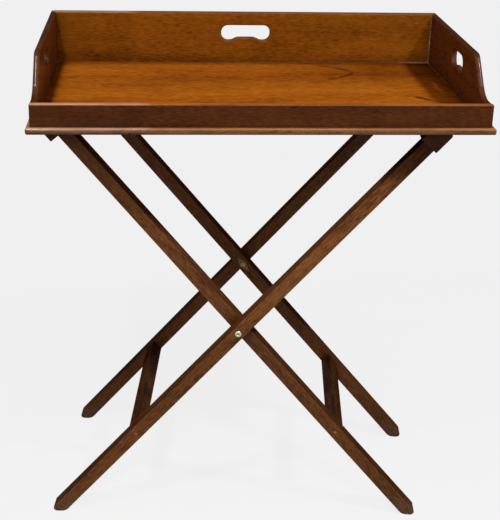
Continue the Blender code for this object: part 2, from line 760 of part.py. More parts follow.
def peg_mesh(name):
    """Return a dowel along Y, its outer end at y = 0 and slightly domed."""
    dome = dome_profile(PEG_RADIUS, PEG_PROUD, -PEG_PROUD, LOW_DOME_STEPS)
    return profile_mesh(name, dome + [(PEG_RADIUS, -PEG_LENGTH), (0.0, -PEG_LENGTH)])


def build_peg(name, side, face_y, leg, stretcher, parent, material):
    """Pin a stretcher's stub through the outside of its leg."""
    turn = (-side * QUARTER_TURN, 0.0, 0.0)
    place = (0.0, side * (face_y + PEG_PROUD), -STRETCHER_BELOW)
    peg = add_piece(name, peg_mesh(name), parent, material, place, turn)
    spin_profile(peg, SMALL_STEPS)
    length = PEG_LENGTH - PEG_PROUD + FIT_GAP + OVERRUN
    hole_y = side * (face_y + OVERRUN - length / 2.0)
    hole_place = (0.0, hole_y, -STRETCHER_BELOW)
    hole = bar_cutter(f"{name}_hole", PEG_RADIUS + FIT_GAP, length, parent, hole_place)
    combine(leg, hole)
    combine(stretcher, hole)


def build_frame(label, low, leg_y, plate_side, parent, material):
    """Build one frame of the stand: two legs, a top rail, a stretcher and its pegs."""
    legs = [
        build_leg(f"{label}_leg_{end}", low, side * leg_y, side * plate_side, parent, material)
        for side, end in ((-1.0, "front"), (1.0, "back"))
    ]
    build_top_rail(f"{label}_top_rail", low, (-leg_y, leg_y), parent, material)
    stretcher = build_stretcher(f"{label}_stretcher", legs, leg_y, parent, material)
    for leg, side, end in zip(legs, (-1.0, 1.0), ("front", "back")):
        face_y = leg_y + LEG_THICK / 2.0
        build_peg(f"{label}_peg_{end}", side, face_y, leg, stretcher, parent, material)


# Pivots

def bolt_profile():
    """Return a bolt's profile: domed head, shank through both legs, and riveted end."""
    seat = PLATE_FACE + FIT_GAP
    grip = LEG_THICK + LEG_PITCH
    end = -grip - PLATE_FACE - ROVE_THICK - 2.0 * FIT_GAP
    rivet = [
        (radius, end - height)
        for radius, height in reversed(dome_profile(RIVET_RADIUS, RIVET_HEIGHT, 0.0))
    ]
    head = dome_profile(BOLT_HEAD_RADIUS, BOLT_HEAD_HEIGHT, seat)
    return head + [(BOLT_RADIUS, seat), (BOLT_RADIUS, end)] + rivet


def ring_profile(inner, outer, low, high):
    """Return a washer's closed profile."""
    return [(inner, high), (outer, high), (outer, low), (inner, low)]


def build_ring(name, radius, low, high, place, turn, parent, material):
    """Build a washer round a bolt."""
    profile = ring_profile(BOLT_RADIUS + FIT_GAP, radius, low, high)
    ring = add_piece(name, profile_mesh(name, profile, True), parent, material, place, turn)
    spin_profile(ring, TURNED_STEPS)


def build_plate(name, face_y, side, bore, parent, material):
    """Let a lozenge plate into a leg's face."""
    mesh = upright_slab(name, [lozenge_outline()], PLATE_THICK)
    y = face_y + side * (PLATE_FACE - PLATE_THICK / 2.0)
    plate = add_piece(name, mesh, parent, material, (0.0, y, 0.0))
    combine(plate, bore)


def build_pivot(end, side, outer, inner, material):
    """Build the bolt, plates, rove and spacer at the front (side -1) or back crossing."""
    turn = (-side * QUARTER_TURN, 0.0, 0.0)
    outer_face = side * (OUTER_LEG_Y + LEG_THICK / 2.0)
    inner_face = side * (INNER_LEG_Y - LEG_THICK / 2.0)
    place = (0.0, outer_face, 0.0)
    name = f"pivot_bolt_{end}"
    bolt = add_piece(name, profile_mesh(name, bolt_profile()), outer, material, place, turn)
    spin_profile(bolt, TURNED_STEPS)
    between = -LEG_THICK - FIT_GAP
    build_ring(
        f"pivot_spacer_{end}", SPACER_RADIUS, between - SPACER_THICK, between,
        place, turn, outer, material,
    )
    seat = -LEG_THICK - LEG_PITCH - PLATE_FACE - FIT_GAP
    build_ring(
        f"pivot_rove_{end}", ROVE_RADIUS, seat - ROVE_THICK, seat, place, turn, inner, material
    )
    reach = 2.0 * (PLATE_THICK + OVERRUN)
    for label, face, face_side, parent in (
        ("outer", outer_face, side, outer), ("inner", inner_face, -side, inner),
    ):
        bore_name = f"pivot_plate_{end}_{label}_bore"
        bore = bar_cutter(bore_name, BOLT_RADIUS + FIT_GAP, reach, parent, (0.0, face, 0.0))
        build_plate(f"pivot_plate_{end}_{label}", face, face_side, bore, parent, material)


# Webbing and tacks

def band_side(offset):
    """Return half of a band's path, from its tail up over the left rail, in the stand's XZ."""
    tail_z = RAIL_TOP - TOP_RAIL_THICK * WEB_TAIL_SHARE
    arm = HALF_RAIL - TOP_RAIL_ROUND
    crown = (RAIL_CREST - TOP_RAIL_ROUND + arm * SIN_LEAN) / COS_LEAN
    radius = TOP_RAIL_ROUND + offset
    path = [Vector((-HALF_RAIL - offset, tail_z))]
    path += arc_points(
        (-arm, crown), radius, 2.0 * QUARTER_TURN, QUARTER_TURN - LEG_LEAN, 2 * ARC_STEPS
    )
    return [
        Vector((p.x * COS_LEAN - p.y * SIN_LEAN, p.x * SIN_LEAN + p.y * COS_LEAN)) for p in path
    ]


def band_outline():
    """Return a band's closed outline: taut between the rails and wrapped over both."""
    under = band_side(FIT_GAP)
    over = band_side(FIT_GAP + WEB_THICK)
    mirrored_over = [Vector((-p.x, p.y)) for p in reversed(over)]
    mirrored_under = [Vector((-p.x, p.y)) for p in under]
    return over + mirrored_over + mirrored_under + list(reversed(under))


def tack_profile():
    """Return a tack's profile, head up."""
    head = dome_profile(TACK_HEAD_RADIUS, TACK_HEAD_HEIGHT, 0.0, LOW_DOME_STEPS)
    return head + [
        (TACK_SHANK_RADIUS, 0.0),
        (TACK_SHANK_RADIUS, -TACK_LENGTH * (1.0 - TACK_POINT_SHARE)),
        (0.0, -TACK_LENGTH),
    ]


def build_tack(name, low, y, band, rail, parent, material):
    """Drive a tack through a band into the outer side of a rail."""
    height = RAIL_BOTTOM + TOP_RAIL_THICK * TACK_HEIGHT_SHARE
    seat = HALF_RAIL + WEB_THICK + 2.0 * FIT_GAP
    turn = (0.0, low * QUARTER_TURN, 0.0)
    place = (low * seat, y, height)
    tack = add_piece(name, profile_mesh(name, tack_profile()), parent, material, place, turn)
    spin_profile(tack, SMALL_STEPS)
    length = TACK_LENGTH + FIT_GAP + OVERRUN
    hole_mesh = bar_mesh(f"{name}_hole", TACK_SHANK_RADIUS + FIT_GAP, length, SMALL_STEPS)
    hole_place = (low * (seat + OVERRUN - length / 2.0), y, height)
    hole = add_cutter(f"{name}_hole", hole_mesh, parent, hole_place, turn)
    combine(band, hole)
    combine(rail, hole)


def build_webbing(stand, frames, web_material, tack_material):
    """Stretch three bands from rail to rail and tack down their ends."""
    for label, y in (("front", -WEB_SPACING), ("middle", 0.0), ("back", WEB_SPACING)):
        name = f"webbing_{label}"
        mesh = upright_slab(name, [band_outline()], WEB_WIDTH)
        band = add_piece(name, mesh, stand, web_material, (0.0, y, 0.0))
        for frame_label, low, axis in frames:
            rail = bpy.data.objects[f"{frame_label}_top_rail"]
            for index, shift in enumerate((-TACK_SPREAD / 2.0, TACK_SPREAD / 2.0), start=1):
                tack_name = f"tack_{frame_label}_{label}_{index}"
                build_tack(tack_name, low, y + shift, band, rail, axis, tack_material)


# Assembly

def build_tray(materials):
    """Build the tray that lifts off the stand."""
    lift = make_empty("tray_lift_axis", PARTS, location=(0.0, 0.0, REST_HEIGHT))
    board = build_board(lift, materials["floor_mahogany"])
    build_mouldings(lift, materials["moulding_mahogany"])
    rail = build_rail(lift, materials["wall_mahogany"])
    gallery = build_gallery(lift, materials["floor_mahogany"])
    ends = [
        build_end("tray_end_left", -1.0, lift, materials["wall_mahogany"]),
        build_end("tray_end_right", 1.0, lift, materials["wall_mahogany"]),
    ]
    build_screws(board, rail, gallery, ends, lift, materials["steel"])


def build_stand(materials):
    """Build the folding stand: two frames, their pivots and the webbing."""
    place = (STAND_SHIFT, 0.0, PIVOT_HEIGHT)
    stand = make_empty("stand_axis", PARTS, location=place, rotation=(0.0, 0.0, STAND_TURN))
    outer = make_empty("outer_frame_axis", PARTS, stand, rotation=(0.0, LEG_LEAN, 0.0))
    inner = make_empty("inner_frame_axis", PARTS, stand, rotation=(0.0, -LEG_LEAN, 0.0))
    wood = materials["stand_mahogany"]
    build_frame("outer", 1.0, OUTER_LEG_Y, 1.0, outer, wood)
    build_frame("inner", -1.0, INNER_LEG_Y, -1.0, inner, wood)
    build_pivot("front", -1.0, outer, inner, materials["brass"])
    build_pivot("back", 1.0, outer, inner, materials["brass"])
    frames = (("outer", 1.0, outer), ("inner", -1.0, inner))
    build_webbing(stand, frames, materials["webbing"], materials["steel"])


clear_scene()
PARTS = make_collection("butler_tray")
CUTTERS = make_collection("cutters")
CUTTERS.hide_render = True
PALETTE = {label: make_material(label) for label in MATERIALS}
build_tray(PALETTE)
build_stand(PALETTE)
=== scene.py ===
"""Butler tray: the tray and its folding stand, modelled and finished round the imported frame.

Metres, +Z up, the front towards -Y. Every piece ends with its object at the origin and its
place in its mesh. The stand's pieces are shaped in their own frame's axes, with Z up the leg,
Y along the pivot and X across the leg, and are then leaned and turned into place.
"""
import json
import logging
import math
from contextlib import contextmanager
from dataclasses import dataclass, field, replace
from enum import Enum
from typing import Any, Callable, Iterator, Sequence

import bmesh
import bpy
from mathutils import Matrix, Vector


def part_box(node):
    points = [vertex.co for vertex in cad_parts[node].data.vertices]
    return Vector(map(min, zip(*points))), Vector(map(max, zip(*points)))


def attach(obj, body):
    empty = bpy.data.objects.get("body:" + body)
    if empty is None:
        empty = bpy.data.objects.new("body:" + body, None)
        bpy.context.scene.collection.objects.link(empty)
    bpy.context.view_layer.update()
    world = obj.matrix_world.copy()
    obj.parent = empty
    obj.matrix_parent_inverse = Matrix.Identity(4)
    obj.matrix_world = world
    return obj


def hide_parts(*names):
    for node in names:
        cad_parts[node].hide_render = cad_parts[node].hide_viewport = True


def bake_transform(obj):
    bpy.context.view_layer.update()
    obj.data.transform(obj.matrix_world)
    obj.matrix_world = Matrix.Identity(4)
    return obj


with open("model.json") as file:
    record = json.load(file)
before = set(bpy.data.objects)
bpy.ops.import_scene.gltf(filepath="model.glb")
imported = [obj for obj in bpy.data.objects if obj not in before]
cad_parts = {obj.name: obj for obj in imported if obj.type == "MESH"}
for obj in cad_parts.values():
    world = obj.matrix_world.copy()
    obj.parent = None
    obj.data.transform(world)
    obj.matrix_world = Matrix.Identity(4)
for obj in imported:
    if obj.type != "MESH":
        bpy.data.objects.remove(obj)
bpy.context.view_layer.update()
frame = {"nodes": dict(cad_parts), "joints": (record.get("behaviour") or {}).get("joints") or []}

log = logging.getLogger("butler_tray")

Colour = tuple[float, float, float]
Range = tuple[float, float]
Triple = tuple[float, float, float]
Material = bpy.types.Material
Face = bmesh.types.BMFace
Edge = bmesh.types.BMEdge
FaceTest = Callable[[Face], bool]
EdgeTest = Callable[[Edge], bool]
WHITE = (1.0, 1.0, 1.0)

TOUCH = 0.00001             # points closer than this count as one
NEAR = 0.0001               # and so do points closer than this round a corner that was just cut
SEAM = 0.00008              # hairline left between two pieces of wood that meet
OVERRUN = 0.004             # how far a cutter runs past the face that it opens
FLAT_ANGLE = math.radians(0.5)
CORNER_ANGLE = math.radians(35.0)
FACING = 0.9                # share of its normal along an axis from which a face looks that way
SQUARELY = 0.99             # and from which it looks squarely that way
FAR = 10.0                  # a length beyond anything on the object
FAR_LEFT = -1.0             # a place along X to the left of the object
QUARTER_TURN = math.pi / 2.0
UP = Vector((0.0, 0.0, 1.0))
FLAT_TO_UPRIGHT = Matrix.Rotation(QUARTER_TURN, 4, "X")


class Way(Enum):
    """A choice between two ways along an axis."""

    @property
    def label(self) -> str:
        """The word used inside piece names."""
        return self.name.lower()


class Side(Way):
    """The two ends of the tray, and which way each faces along X."""

    LEFT = -1.0
    RIGHT = 1.0


class Depth(Way):
    """Front and back, and which way each faces along Y."""

    FRONT = -1.0
    BACK = 1.0


class Body(Enum):
    """The bodies that pieces ride on."""

    OUTER = "outer_frame"
    INNER = "inner_frame"
    TRAY = "tray"


def looks_up(face: Face) -> bool:
    """Tell whether a face looks up."""
    return face.normal.z > FACING


def looks_down(face: Face) -> bool:
    """Tell whether a face looks down."""
    return face.normal.z < -FACING


def node_centre(name: str) -> Vector:
    """Return the middle of a node's box."""
    low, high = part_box(name)
    return (low + high) / 2.0


def deselect_all() -> None:
    """Leave nothing selected, because operators act on all that is."""
    for item in bpy.context.selected_objects:
        item.select_set(False)


def make_active(piece: bpy.types.Object) -> None:
    """Make a piece the only selected object.

    Args:
        piece: The object that the next operators act on.
    """
    deselect_all()
    piece.select_set(True)
    bpy.context.view_layer.objects.active = piece


@contextmanager
def editing(piece: bpy.types.Object) -> Iterator[bmesh.types.BMesh]:
    """Open a piece in edit mode with nothing selected.

    Args:
        piece: The object to edit.
    Yields:
        The piece's edit mesh.
    """
    make_active(piece)
    bpy.ops.object.mode_set(mode="EDIT")
    bpy.ops.mesh.select_mode(type="VERT")
    bpy.ops.mesh.select_all(action="DESELECT")
    yield bmesh.from_edit_mesh(piece.data)
    bpy.ops.object.mode_set(mode="OBJECT")


class Work:
    """One piece on the bench: a primitive that is shaped step by step."""

    def __init__(self, piece: bpy.types.Object, name: str) -> None:
        """Take up a fresh primitive.

        Args:
            piece: The object that was just added.
            name: Its node's name.
        """
        self.piece = piece
        self.name = name
        piece.name = piece.data.name = f"{name}_piece"
        self.settle()

    @classmethod
    def block(cls, name: str, low: Sequence[float], high: Sequence[float]) -> "Work":
        """Start from a squared block between two corners.

        Args:
            name: The name of the piece.
            low: Lowest corner.
            high: Highest corner.
        Returns:
            The piece on the bench.
        """
        deselect_all()
        low, high = Vector(low), Vector(high)
        bpy.ops.mesh.primitive_cube_add(size=1.0, location=(low + high) / 2.0, scale=high - low)
        return cls(bpy.context.object, name)

    @classmethod
    def bar(cls, name: str, radius: float, low: float, high: float, sides: int = 48) -> "Work":
        """Start from a round bar along Z.

        Args:
            name: The name of the piece.
            radius: The bar's radius.
            low: Height of its lower end.
            high: Height of its upper end.
            sides: Number of sides.
        Returns:
            The piece on the bench.
        """
        deselect_all()
        bpy.ops.mesh.primitive_cylinder_add(
            vertices=sides, radius=radius, depth=high - low, location=(0.0, 0.0, (low + high) / 2.0)
        )
        return cls(bpy.context.object, name)

    def settle(self) -> None:
        """Put the object's place, turn and scale into its mesh."""
        make_active(self.piece)
        bpy.ops.object.transform_apply(location=True, rotation=True, scale=True)

    def place(self, matrix: Matrix) -> "Work":
        """Move the piece as a whole.

        Args:
            matrix: Where it goes, from where it was shaped.
        Returns:
            The piece itself.
        """
        self.piece.matrix_world = matrix
        self.settle()
        return self

    def bevel_edges(self, test: EdgeTest, width: float, steps: int = 4) -> "Work":
        """Round chosen edges.

        Args:
            test: Picks the edges.
            width: How far the rounding reaches from the edge.
            steps: Number of facets across it.
        Returns:
            The piece itself.
        """
        with editing(self.piece) as shell:
            bpy.ops.mesh.select_mode(type="EDGE")
            for edge in shell.edges:
                edge.select = test(edge)
            shell.select_flush_mode()
            bmesh.update_edit_mesh(self.piece.data)
            bpy.ops.mesh.bevel(
                offset_type="OFFSET", offset=width, segments=steps, profile=0.5, affect="EDGES"
            )
        return self

    def round_corner(
        self, corner: Vector, ways: tuple[Vector, Vector], radius: float, steps: int = 5
    ) -> "Work":
        """Round a corner line that runs along Y, to an arc.

        The corner is sawn off along the arc's tangent first, because a single bevel would draw
        it out to a point. Then the two blunt corners that this leaves are rounded.

        Args:
            corner: A point of the corner line, at y = 0.
            ways: The ways from it along its two sides.
            radius: The arc's radius.
            steps: Number of facets across each half of the arc.
        Returns:
            The piece itself.
        """
        first, second = (way.normalized() for way in ways)
        turn = 2.0 * QUARTER_TURN - first.angle(second)
        inward = (first + second).normalized()
        self.slice(corner + inward * radius * (1.0 / math.cos(turn / 2.0) - 1.0), -inward, saw=True)
        reach = radius * math.tan(turn / 4.0)
        run = radius * math.tan(turn / 2.0) - reach
        for place in (corner + first * run, corner + second * run):
            self.bevel_edges(
                lambda e: all((Vector((v.co.x, 0.0, v.co.z)) - place).length < NEAR for v in e.verts),
                reach, steps,
            )
        return self.clean()

    def ease_sharp_edges(self, width: float, steps: int = 3) -> "Work":
        """Take the sharpness off every corner edge, as far as width."""
        return self.bevel_edges(lambda edge: edge.calc_face_angle(0.0) > CORNER_ANGLE, width, steps)

    def slice(self, point: Sequence[float], normal: Sequence[float], saw: bool = False) -> "Work":
        """Cut the mesh along a plane.

        Args:
            point: A point on the plane.
            normal: The plane's normal.
            saw: True to remove what lies on the normal's side and close the cut.
        Returns:
            The piece itself.
        """
        with editing(self.piece):
            bpy.ops.mesh.select_all(action="SELECT")
            bpy.ops.mesh.bisect(
                plane_co=point, plane_no=normal, use_fill=saw, clear_outer=saw, threshold=TOUCH
            )
        return self

    def pick_faces(self, shell: bmesh.types.BMesh, test: FaceTest) -> None:
        """Select faces of the mesh that is open in edit mode.

        Args:
            shell: The open mesh.
            test: Picks the faces.
        """
        bpy.ops.mesh.select_mode(type="FACE")
        for face in shell.faces:
            face.select = test(face)
        shell.select_flush_mode()
        bmesh.update_edit_mesh(self.piece.data)

    def move_faces(self, test: FaceTest, shift: Vector) -> "Work":
        """Slide chosen faces.

        Args:
            test: Picks the faces.
            shift: How far they move.
        Returns:
            The piece itself.
        """
        with editing(self.piece) as shell:
            self.pick_faces(shell, test)
            bpy.ops.transform.translate(value=shift)
        return self

    def draw_out(
        self, test: FaceTest, shift: Vector, scale: Sequence[float] = (1.0, 1.0, 1.0)
    ) -> "Work":
        """Extrude chosen faces and resize the far end.

        Args:
            test: Picks the faces.
            shift: How far they are drawn.
            scale: The far end's scale along X, Y and Z.
        Returns:
            The piece itself.
        """
        with editing(self.piece) as shell:
            self.pick_faces(shell, test)
            bpy.ops.mesh.extrude_region_move(TRANSFORM_OT_translate={"value": shift})
            bpy.ops.transform.resize(value=scale)
        return self

    def inset_face(self, test: FaceTest, width: float) -> "Work":
        """Inset chosen faces, which leaves the new inner faces where they were.

        Args:
            test: Picks the faces.
            width: The border's width.
        Returns:
            The piece itself.
        """
        with editing(self.piece) as shell:
            self.pick_faces(shell, test)
            bpy.ops.mesh.inset(thickness=width, depth=0.0)
        return self

    def bore_through(self, radius_left: float) -> "Work":
        """Open a round hole along Z by insetting both ends and bridging them.

        Args:
            radius_left: Width of the ring that stays round the hole.
        Returns:
            The piece itself.
        """
        with editing(self.piece) as shell:
            self.pick_faces(shell, lambda face: abs(face.normal.z) > FACING)
            bpy.ops.mesh.inset(thickness=radius_left, depth=0.0)
            bpy.ops.mesh.bridge_edge_loops()
        return self

    def clean(self) -> "Work":
        """Dissolve the edges that lie in a flat face.

        Returns:
            The piece itself.
        """
        with editing(self.piece):
            bpy.ops.mesh.select_all(action="SELECT")
            bpy.ops.mesh.remove_doubles(threshold=TOUCH)
            bpy.ops.mesh.dissolve_limited(angle_limit=FLAT_ANGLE)
        return self

    def cut(self, *tools: "Work") -> "Work":
        """Cut tools from the piece.

        Args:
            tools: The pieces to cut with, which are then thrown away.
        Returns:
            The piece itself.
        """
        for tool in tools:
            modifier = self.piece.modifiers.new("cut", "BOOLEAN")
            modifier.object = tool.piece
            modifier.operation = "DIFFERENCE"
            modifier.solver = "EXACT"
            make_active(self.piece)
            bpy.ops.object.modifier_apply(modifier=modifier.name)
            bpy.data.objects.remove(tool.piece, do_unlink=True)
        return self

    def copy(self, name: str, matrix: Matrix) -> "Work":
        """Make another like it, with a mesh of its own.

        Args:
            name: The copy's name.
            matrix: Where the copy goes, from where this one lies.
        Returns:
            The copy on the bench.
        """
        twin = self.piece.copy()
        twin.data = self.piece.data.copy()
        bpy.context.scene.collection.objects.link(twin)
        return Work(twin, name).place(matrix)

    def smooth(self) -> bpy.types.Object:
        """Shade the round parts smooth and the flats flat.

        Returns:
            The finished object.
        """
        make_active(self.piece)
        bpy.ops.object.shade_smooth_by_angle(angle=CORNER_ANGLE)
        modifier = self.piece.modifiers.new("even normals", "WEIGHTED_NORMAL")
        modifier.keep_sharp = True
        modifier.weight = 100
        bpy.ops.object.modifier_apply(modifier=modifier.name)
        return self.piece


def hand_over(
    piece: bpy.types.Object, body: Body, material: Material, slot: str, *nodes: str
) -> bpy.types.Object:
    """Give a finished piece its material and body, and hide the nodes that it stands for.

    Args:
        piece: The finished object.
        body: The body that it rides on.
        material: Its material.
        slot: Not used.
        nodes: The nodes of the frame that it stands for.
    Returns:
        The same object.
    """
    piece.data.materials.clear()
    piece.data.materials.append(material)
    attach(piece, body.value)
    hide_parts(*nodes)
    log.info("%s rides on %s", piece.name, body.value)
    return piece


@dataclass(frozen=True)
class Noise:
    """A noise pattern: its cells per metre along each axis, its detail and its ripple.

    As patches it is mapped from rim to share.
    """

    cells: Triple
    detail: float = 4.0
    ripple: float = 0.0
    rim: Range = (0.0, 1.0)
    share: Range = (0.0, 1.0)


class NodeSheet:
    """A node tree that is being filled in."""

    def __init__(self, tree: bpy.types.NodeTree) -> None:
        """Open a tree."""
        self.tree = tree

    def feed(self, socket: bpy.types.NodeSocket, value: Any) -> None:
        """Link an output to a socket, or give the socket a value of its own.

        Args:
            socket: The input socket.
            value: Another node's output, or a value.
        """
        if isinstance(value, bpy.types.NodeSocket):
            self.tree.links.new(value, socket)
        else:
            socket.default_value = value

    def add(self, kind: str, inputs: dict[Any, Any] | None = None, **settings: Any) -> bpy.types.Node:
        """Add a node.

        Args:
            kind: The node's type.
            inputs: Socket names or numbers, each with a value or another node's output.
            settings: The node's own settings.
        Returns:
            The new node.
        """
        node = self.tree.nodes.new(kind)
        for key, value in settings.items():
            setattr(node, key, value)
        for key, value in (inputs or {}).items():
            self.feed(node.inputs[key], value)
        return node

    def maths(self, operation: str, first: Any, second: Any = 0.0, clamp: bool = False) -> Any:
        """Return the output of a Math node."""
        node = self.add("ShaderNodeMath", {0: first, 1: second}, operation=operation, use_clamp=clamp)
        return node.outputs[0]

    def times(self, first: Any, second: Any, clamp: bool = False) -> Any:
        """Return one value times another."""
        return self.maths("MULTIPLY", first, second, clamp)

    def plus(self, first: Any, second: Any, clamp: bool = False) -> Any:
        """Return one value plus another."""
        return self.maths("ADD", first, second, clamp)

    def minus(self, first: Any, second: Any, clamp: bool = False) -> Any:
        """Return one value less another."""
        return self.maths("SUBTRACT", first, second, clamp)

    def most(self, first: Any, second: Any) -> Any:
        """Return the greater of two values."""
        return self.maths("MAXIMUM", first, second)

    def size(self, value: Any) -> Any:
        """Return a value without its sign."""
        return self.maths("ABSOLUTE", value)

    def length(self, vector: Any) -> Any:
        """Return a vector's length."""
        return self.add("ShaderNodeVectorMath", {0: vector}, operation="LENGTH").outputs["Value"]

    def split(self, vector: Any) -> Any:
        """Return a vector's X, Y and Z."""
        return self.add("ShaderNodeSeparateXYZ", {0: vector}).outputs

    def spot(self) -> Any:
        """Return the place on the object, in metres."""
        return self.add("ShaderNodeTexCoord").outputs["Object"]

    def normal(self) -> Any:
        """Return the way that the surface looks."""
        return self.add("ShaderNodeNewGeometry").outputs["Normal"]

    def blend(self, share: Any, first: Any, second: Any, mode: str = "MIX") -> Any:
        """Lay one colour over another.

        Args:
            share: How much of the second colour shows.
            first: The colour below.
            second: The colour above.
            mode: How the second acts on the first.
        Returns:
            The colour that comes out.
        """
        node = self.add("ShaderNodeMix", data_type="RGBA", blend_type=mode, clamp_factor=True)
        for name, value in (("Factor_Float", share), ("A_Color", first), ("B_Color", second)):
            self.feed(next(s for s in node.inputs if s.identifier == name), value)
        return next(s for s in node.outputs if s.identifier == "Result_Color")

    def darken(self, share: Any, first: Any, second: Any) -> Any:
        """Return a colour that a share of a second one darkens."""
        return self.blend(share, first, second, "MULTIPLY")

    def spread(self, value: Any, low: float, high: float, to: tuple[Any, Any] = (0.0, 1.0)) -> Any:
        """Map a value from one range to another and hold it inside.

        Args:
            value: The value to map.
            low: What becomes the new range's start.
            high: What becomes its end.
            to: The new range.
        Returns:
            The mapped value.
        """
        node = self.add(
            "ShaderNodeMapRange",
            {"Value": value, "From Min": low, "From Max": high, "To Min": to[0], "To Max": to[1]},
            clamp=True,
        )
        return node.outputs["Result"]

    def noise(self, place: Any, pattern: Noise) -> Any:
        """Draw a noise pattern.

        Args:
            place: The place that it is drawn by.
            pattern: The pattern.
        Returns:
            The noise, around 0.5.
        """
        scaled = self.add("ShaderNodeVectorMath", {0: place, 1: pattern.cells}, operation="MULTIPLY")
        settings = {"Scale": 1.0, "Detail": pattern.detail, "Distortion": pattern.ripple}
        return self.add("ShaderNodeTexNoise", {"Vector": scaled.outputs[0], **settings}).outputs["Fac"]

    def bend(self, reach: Any, samples: int) -> Any:
        """Tell how flat a place is.

        Args:
            reach: How far round the place it is judged.
            samples: How many looks are taken.
        Returns:
            1 on a flat place and less on an edge.
        """
        rounded = self.add("ShaderNodeBevel", {"Radius": reach}, samples=samples).outputs[0]
        dot = self.add("ShaderNodeVectorMath", {0: rounded, 1: self.normal()}, operation="DOT_PRODUCT")
        return dot.outputs["Value"]

    def openness(self, reach: Any, samples: int) -> Any:
        """Return 1 on an open place and less in a corner."""
        return self.add("ShaderNodeAmbientOcclusion", {"Distance": reach}, samples=samples).outputs["AO"]

    def patches(self, place: Any, pattern: Noise) -> Any:
        """Return a noise pattern's patches."""
        return self.spread(self.noise(place, pattern), *pattern.rim, pattern.share)

    def emboss(self, shader: bpy.types.Node, height: Any, strength: float, depth: float) -> None:
        """Give a Principled shader a relief that is depth deep, in metres."""
        bump = self.add("ShaderNodeBump", {"Height": height, "Strength": strength, "Distance": depth})
        self.feed(shader.inputs["Normal"], bump.outputs[0])


class Group:
    """A shader node group with named inputs and outputs."""

    def __init__(self, name: str, inputs: dict[str, str], outputs: dict[str, str]) -> None:
        """Make an empty group.

        Args:
            name: The group's name.
            inputs: Socket names with their types.
            outputs: Socket names with their types.
        """
        self.tree = bpy.data.node_groups.new(name, "ShaderNodeTree")
        for in_out, sockets in (("INPUT", inputs), ("OUTPUT", outputs)):
            for label, kind in sockets.items():
                self.tree.interface.new_socket(label, in_out=in_out, socket_type=kind)
        self.sheet = NodeSheet(self.tree)
        self.given = self.sheet.add("NodeGroupInput").outputs
        self.result = self.sheet.add("NodeGroupOutput").inputs

    def put(self, label: str, value: Any) -> None:
        """Send a value to an output."""
        self.tree.links.new(value, self.result[label])

    def use(self, sheet: NodeSheet, inputs: dict[str, Any]) -> Any:
        """Place the group in a material and return its outputs."""
        return sheet.add("ShaderNodeGroup", inputs, node_tree=self.tree).outputs

    def mask(self, sheet: NodeSheet, place: Any, reach: float, amount: float) -> Any:
        """Place a mask group in a material and return its mask."""
        return self.use(sheet, {"Place": place, "Reach": reach, "Amount": amount})["Mask"]


FLOAT, COLOUR, VECTOR = "NodeSocketFloat", "NodeSocketColor", "NodeSocketVector"
MIDWAY = 0.5                # the middle of a noise and of a tone


@dataclass(frozen=True)
class Grain:
    """Mahogany: growth bands, long streaks, fine flecks, ribbon figure and open pores.

    Each pattern is drawn with X along the grain and has its share of the tone.
    """

    bands: Noise = Noise((1.6, 15.0, 15.0), ripple=0.8)
    streaks: Noise = Noise((9.0, 130.0, 130.0), 6.0, 0.5)
    flecks: Noise = Noise((84.0, 480.0, 480.0))
    ribbon: Noise = Noise((22.0, 30.0, 30.0), 5.0, 1.0)
    pores: Noise = Noise((70.0, 900.0, 900.0), 1.0, rim=(0.58, 0.72))
    band_share: float = 0.25
    streak_share: float = 0.15
    fleck_share: float = 0.45
    ribbon_share: float = 0.15
    pore_share: float = 0.30
    deep: Range = (0.12, 0.5)
    pale: Range = (0.5, 0.88)
    relief: float = 0.5

    def make(self) -> Group:
        """Build the group.

        Returns:
            A group that takes a place with X along the grain, in metres.
        """
        group = Group(
            "mahogany_grain",
            {"Place": VECTOR, "Light": COLOUR, "Middle": COLOUR, "Dark": COLOUR, "Contrast": FLOAT},
            {"Color": COLOUR, "Height": FLOAT},
        )
        sheet, given = group.sheet, group.given
        streaks = sheet.noise(given["Place"], self.streaks)
        tone = sheet.plus(
            sheet.times(sheet.noise(given["Place"], self.bands), self.band_share),
            sheet.times(streaks, self.streak_share),
        )
        for pattern, share in ((self.ribbon, self.ribbon_share), (self.flecks, self.fleck_share)):
            tone = sheet.plus(tone, sheet.times(sheet.noise(given["Place"], pattern), share))
        tone = sheet.times(sheet.minus(tone, MIDWAY), given["Contrast"])
        tone = sheet.plus(tone, MIDWAY, clamp=True)
        colour = sheet.blend(sheet.spread(tone, *self.deep), given["Dark"], given["Middle"])
        colour = sheet.blend(sheet.spread(tone, *self.pale), colour, given["Light"])
        pores = sheet.patches(given["Place"], self.pores)
        group.put("Color", sheet.blend(sheet.times(pores, self.pore_share), colour, given["Dark"]))
        relief = sheet.minus(sheet.times(streaks, self.relief), sheet.times(pores, self.relief))
        group.put("Height", relief)
        return group


@dataclass(frozen=True)
class PatchyMask:
    """A mask that comes and goes in patches."""

    samples: int
    rim: Range
    patches: Noise

    def make(self, name: str, measure: Callable[[NodeSheet, Any, int], Any]) -> Group:
        """Build the group.

        Args:
            name: The group's name.
            measure: Adds the nodes that tell how strongly a place is marked.
        Returns:
            A group that takes a place, a reach and an amount.
        """
        group = Group(name, {"Place": VECTOR, "Reach": FLOAT, "Amount": FLOAT}, {"Mask": FLOAT})
        sheet, given = group.sheet, group.given
        marked = sheet.spread(measure(sheet, given["Reach"], self.samples), *self.rim)
        mask = sheet.times(marked, sheet.patches(given["Place"], self.patches))
        group.put("Mask", sheet.times(mask, given["Amount"], clamp=True))
        return group


EDGE_WEAR = PatchyMask(6, (1.0, 0.90), Noise((38.0, 38.0, 38.0), 5.0, rim=(0.36, 0.66)))
# Darkening in corners and recesses by ambient occlusion: partly grime, partly painted shade.
CORNER_GRIME_AND_SHADE = PatchyMask(
    8, (0.92, 0.45), Noise((22.0, 22.0, 22.0), 3.0, rim=(0.3, 0.7), share=(0.55, 1.0))
)


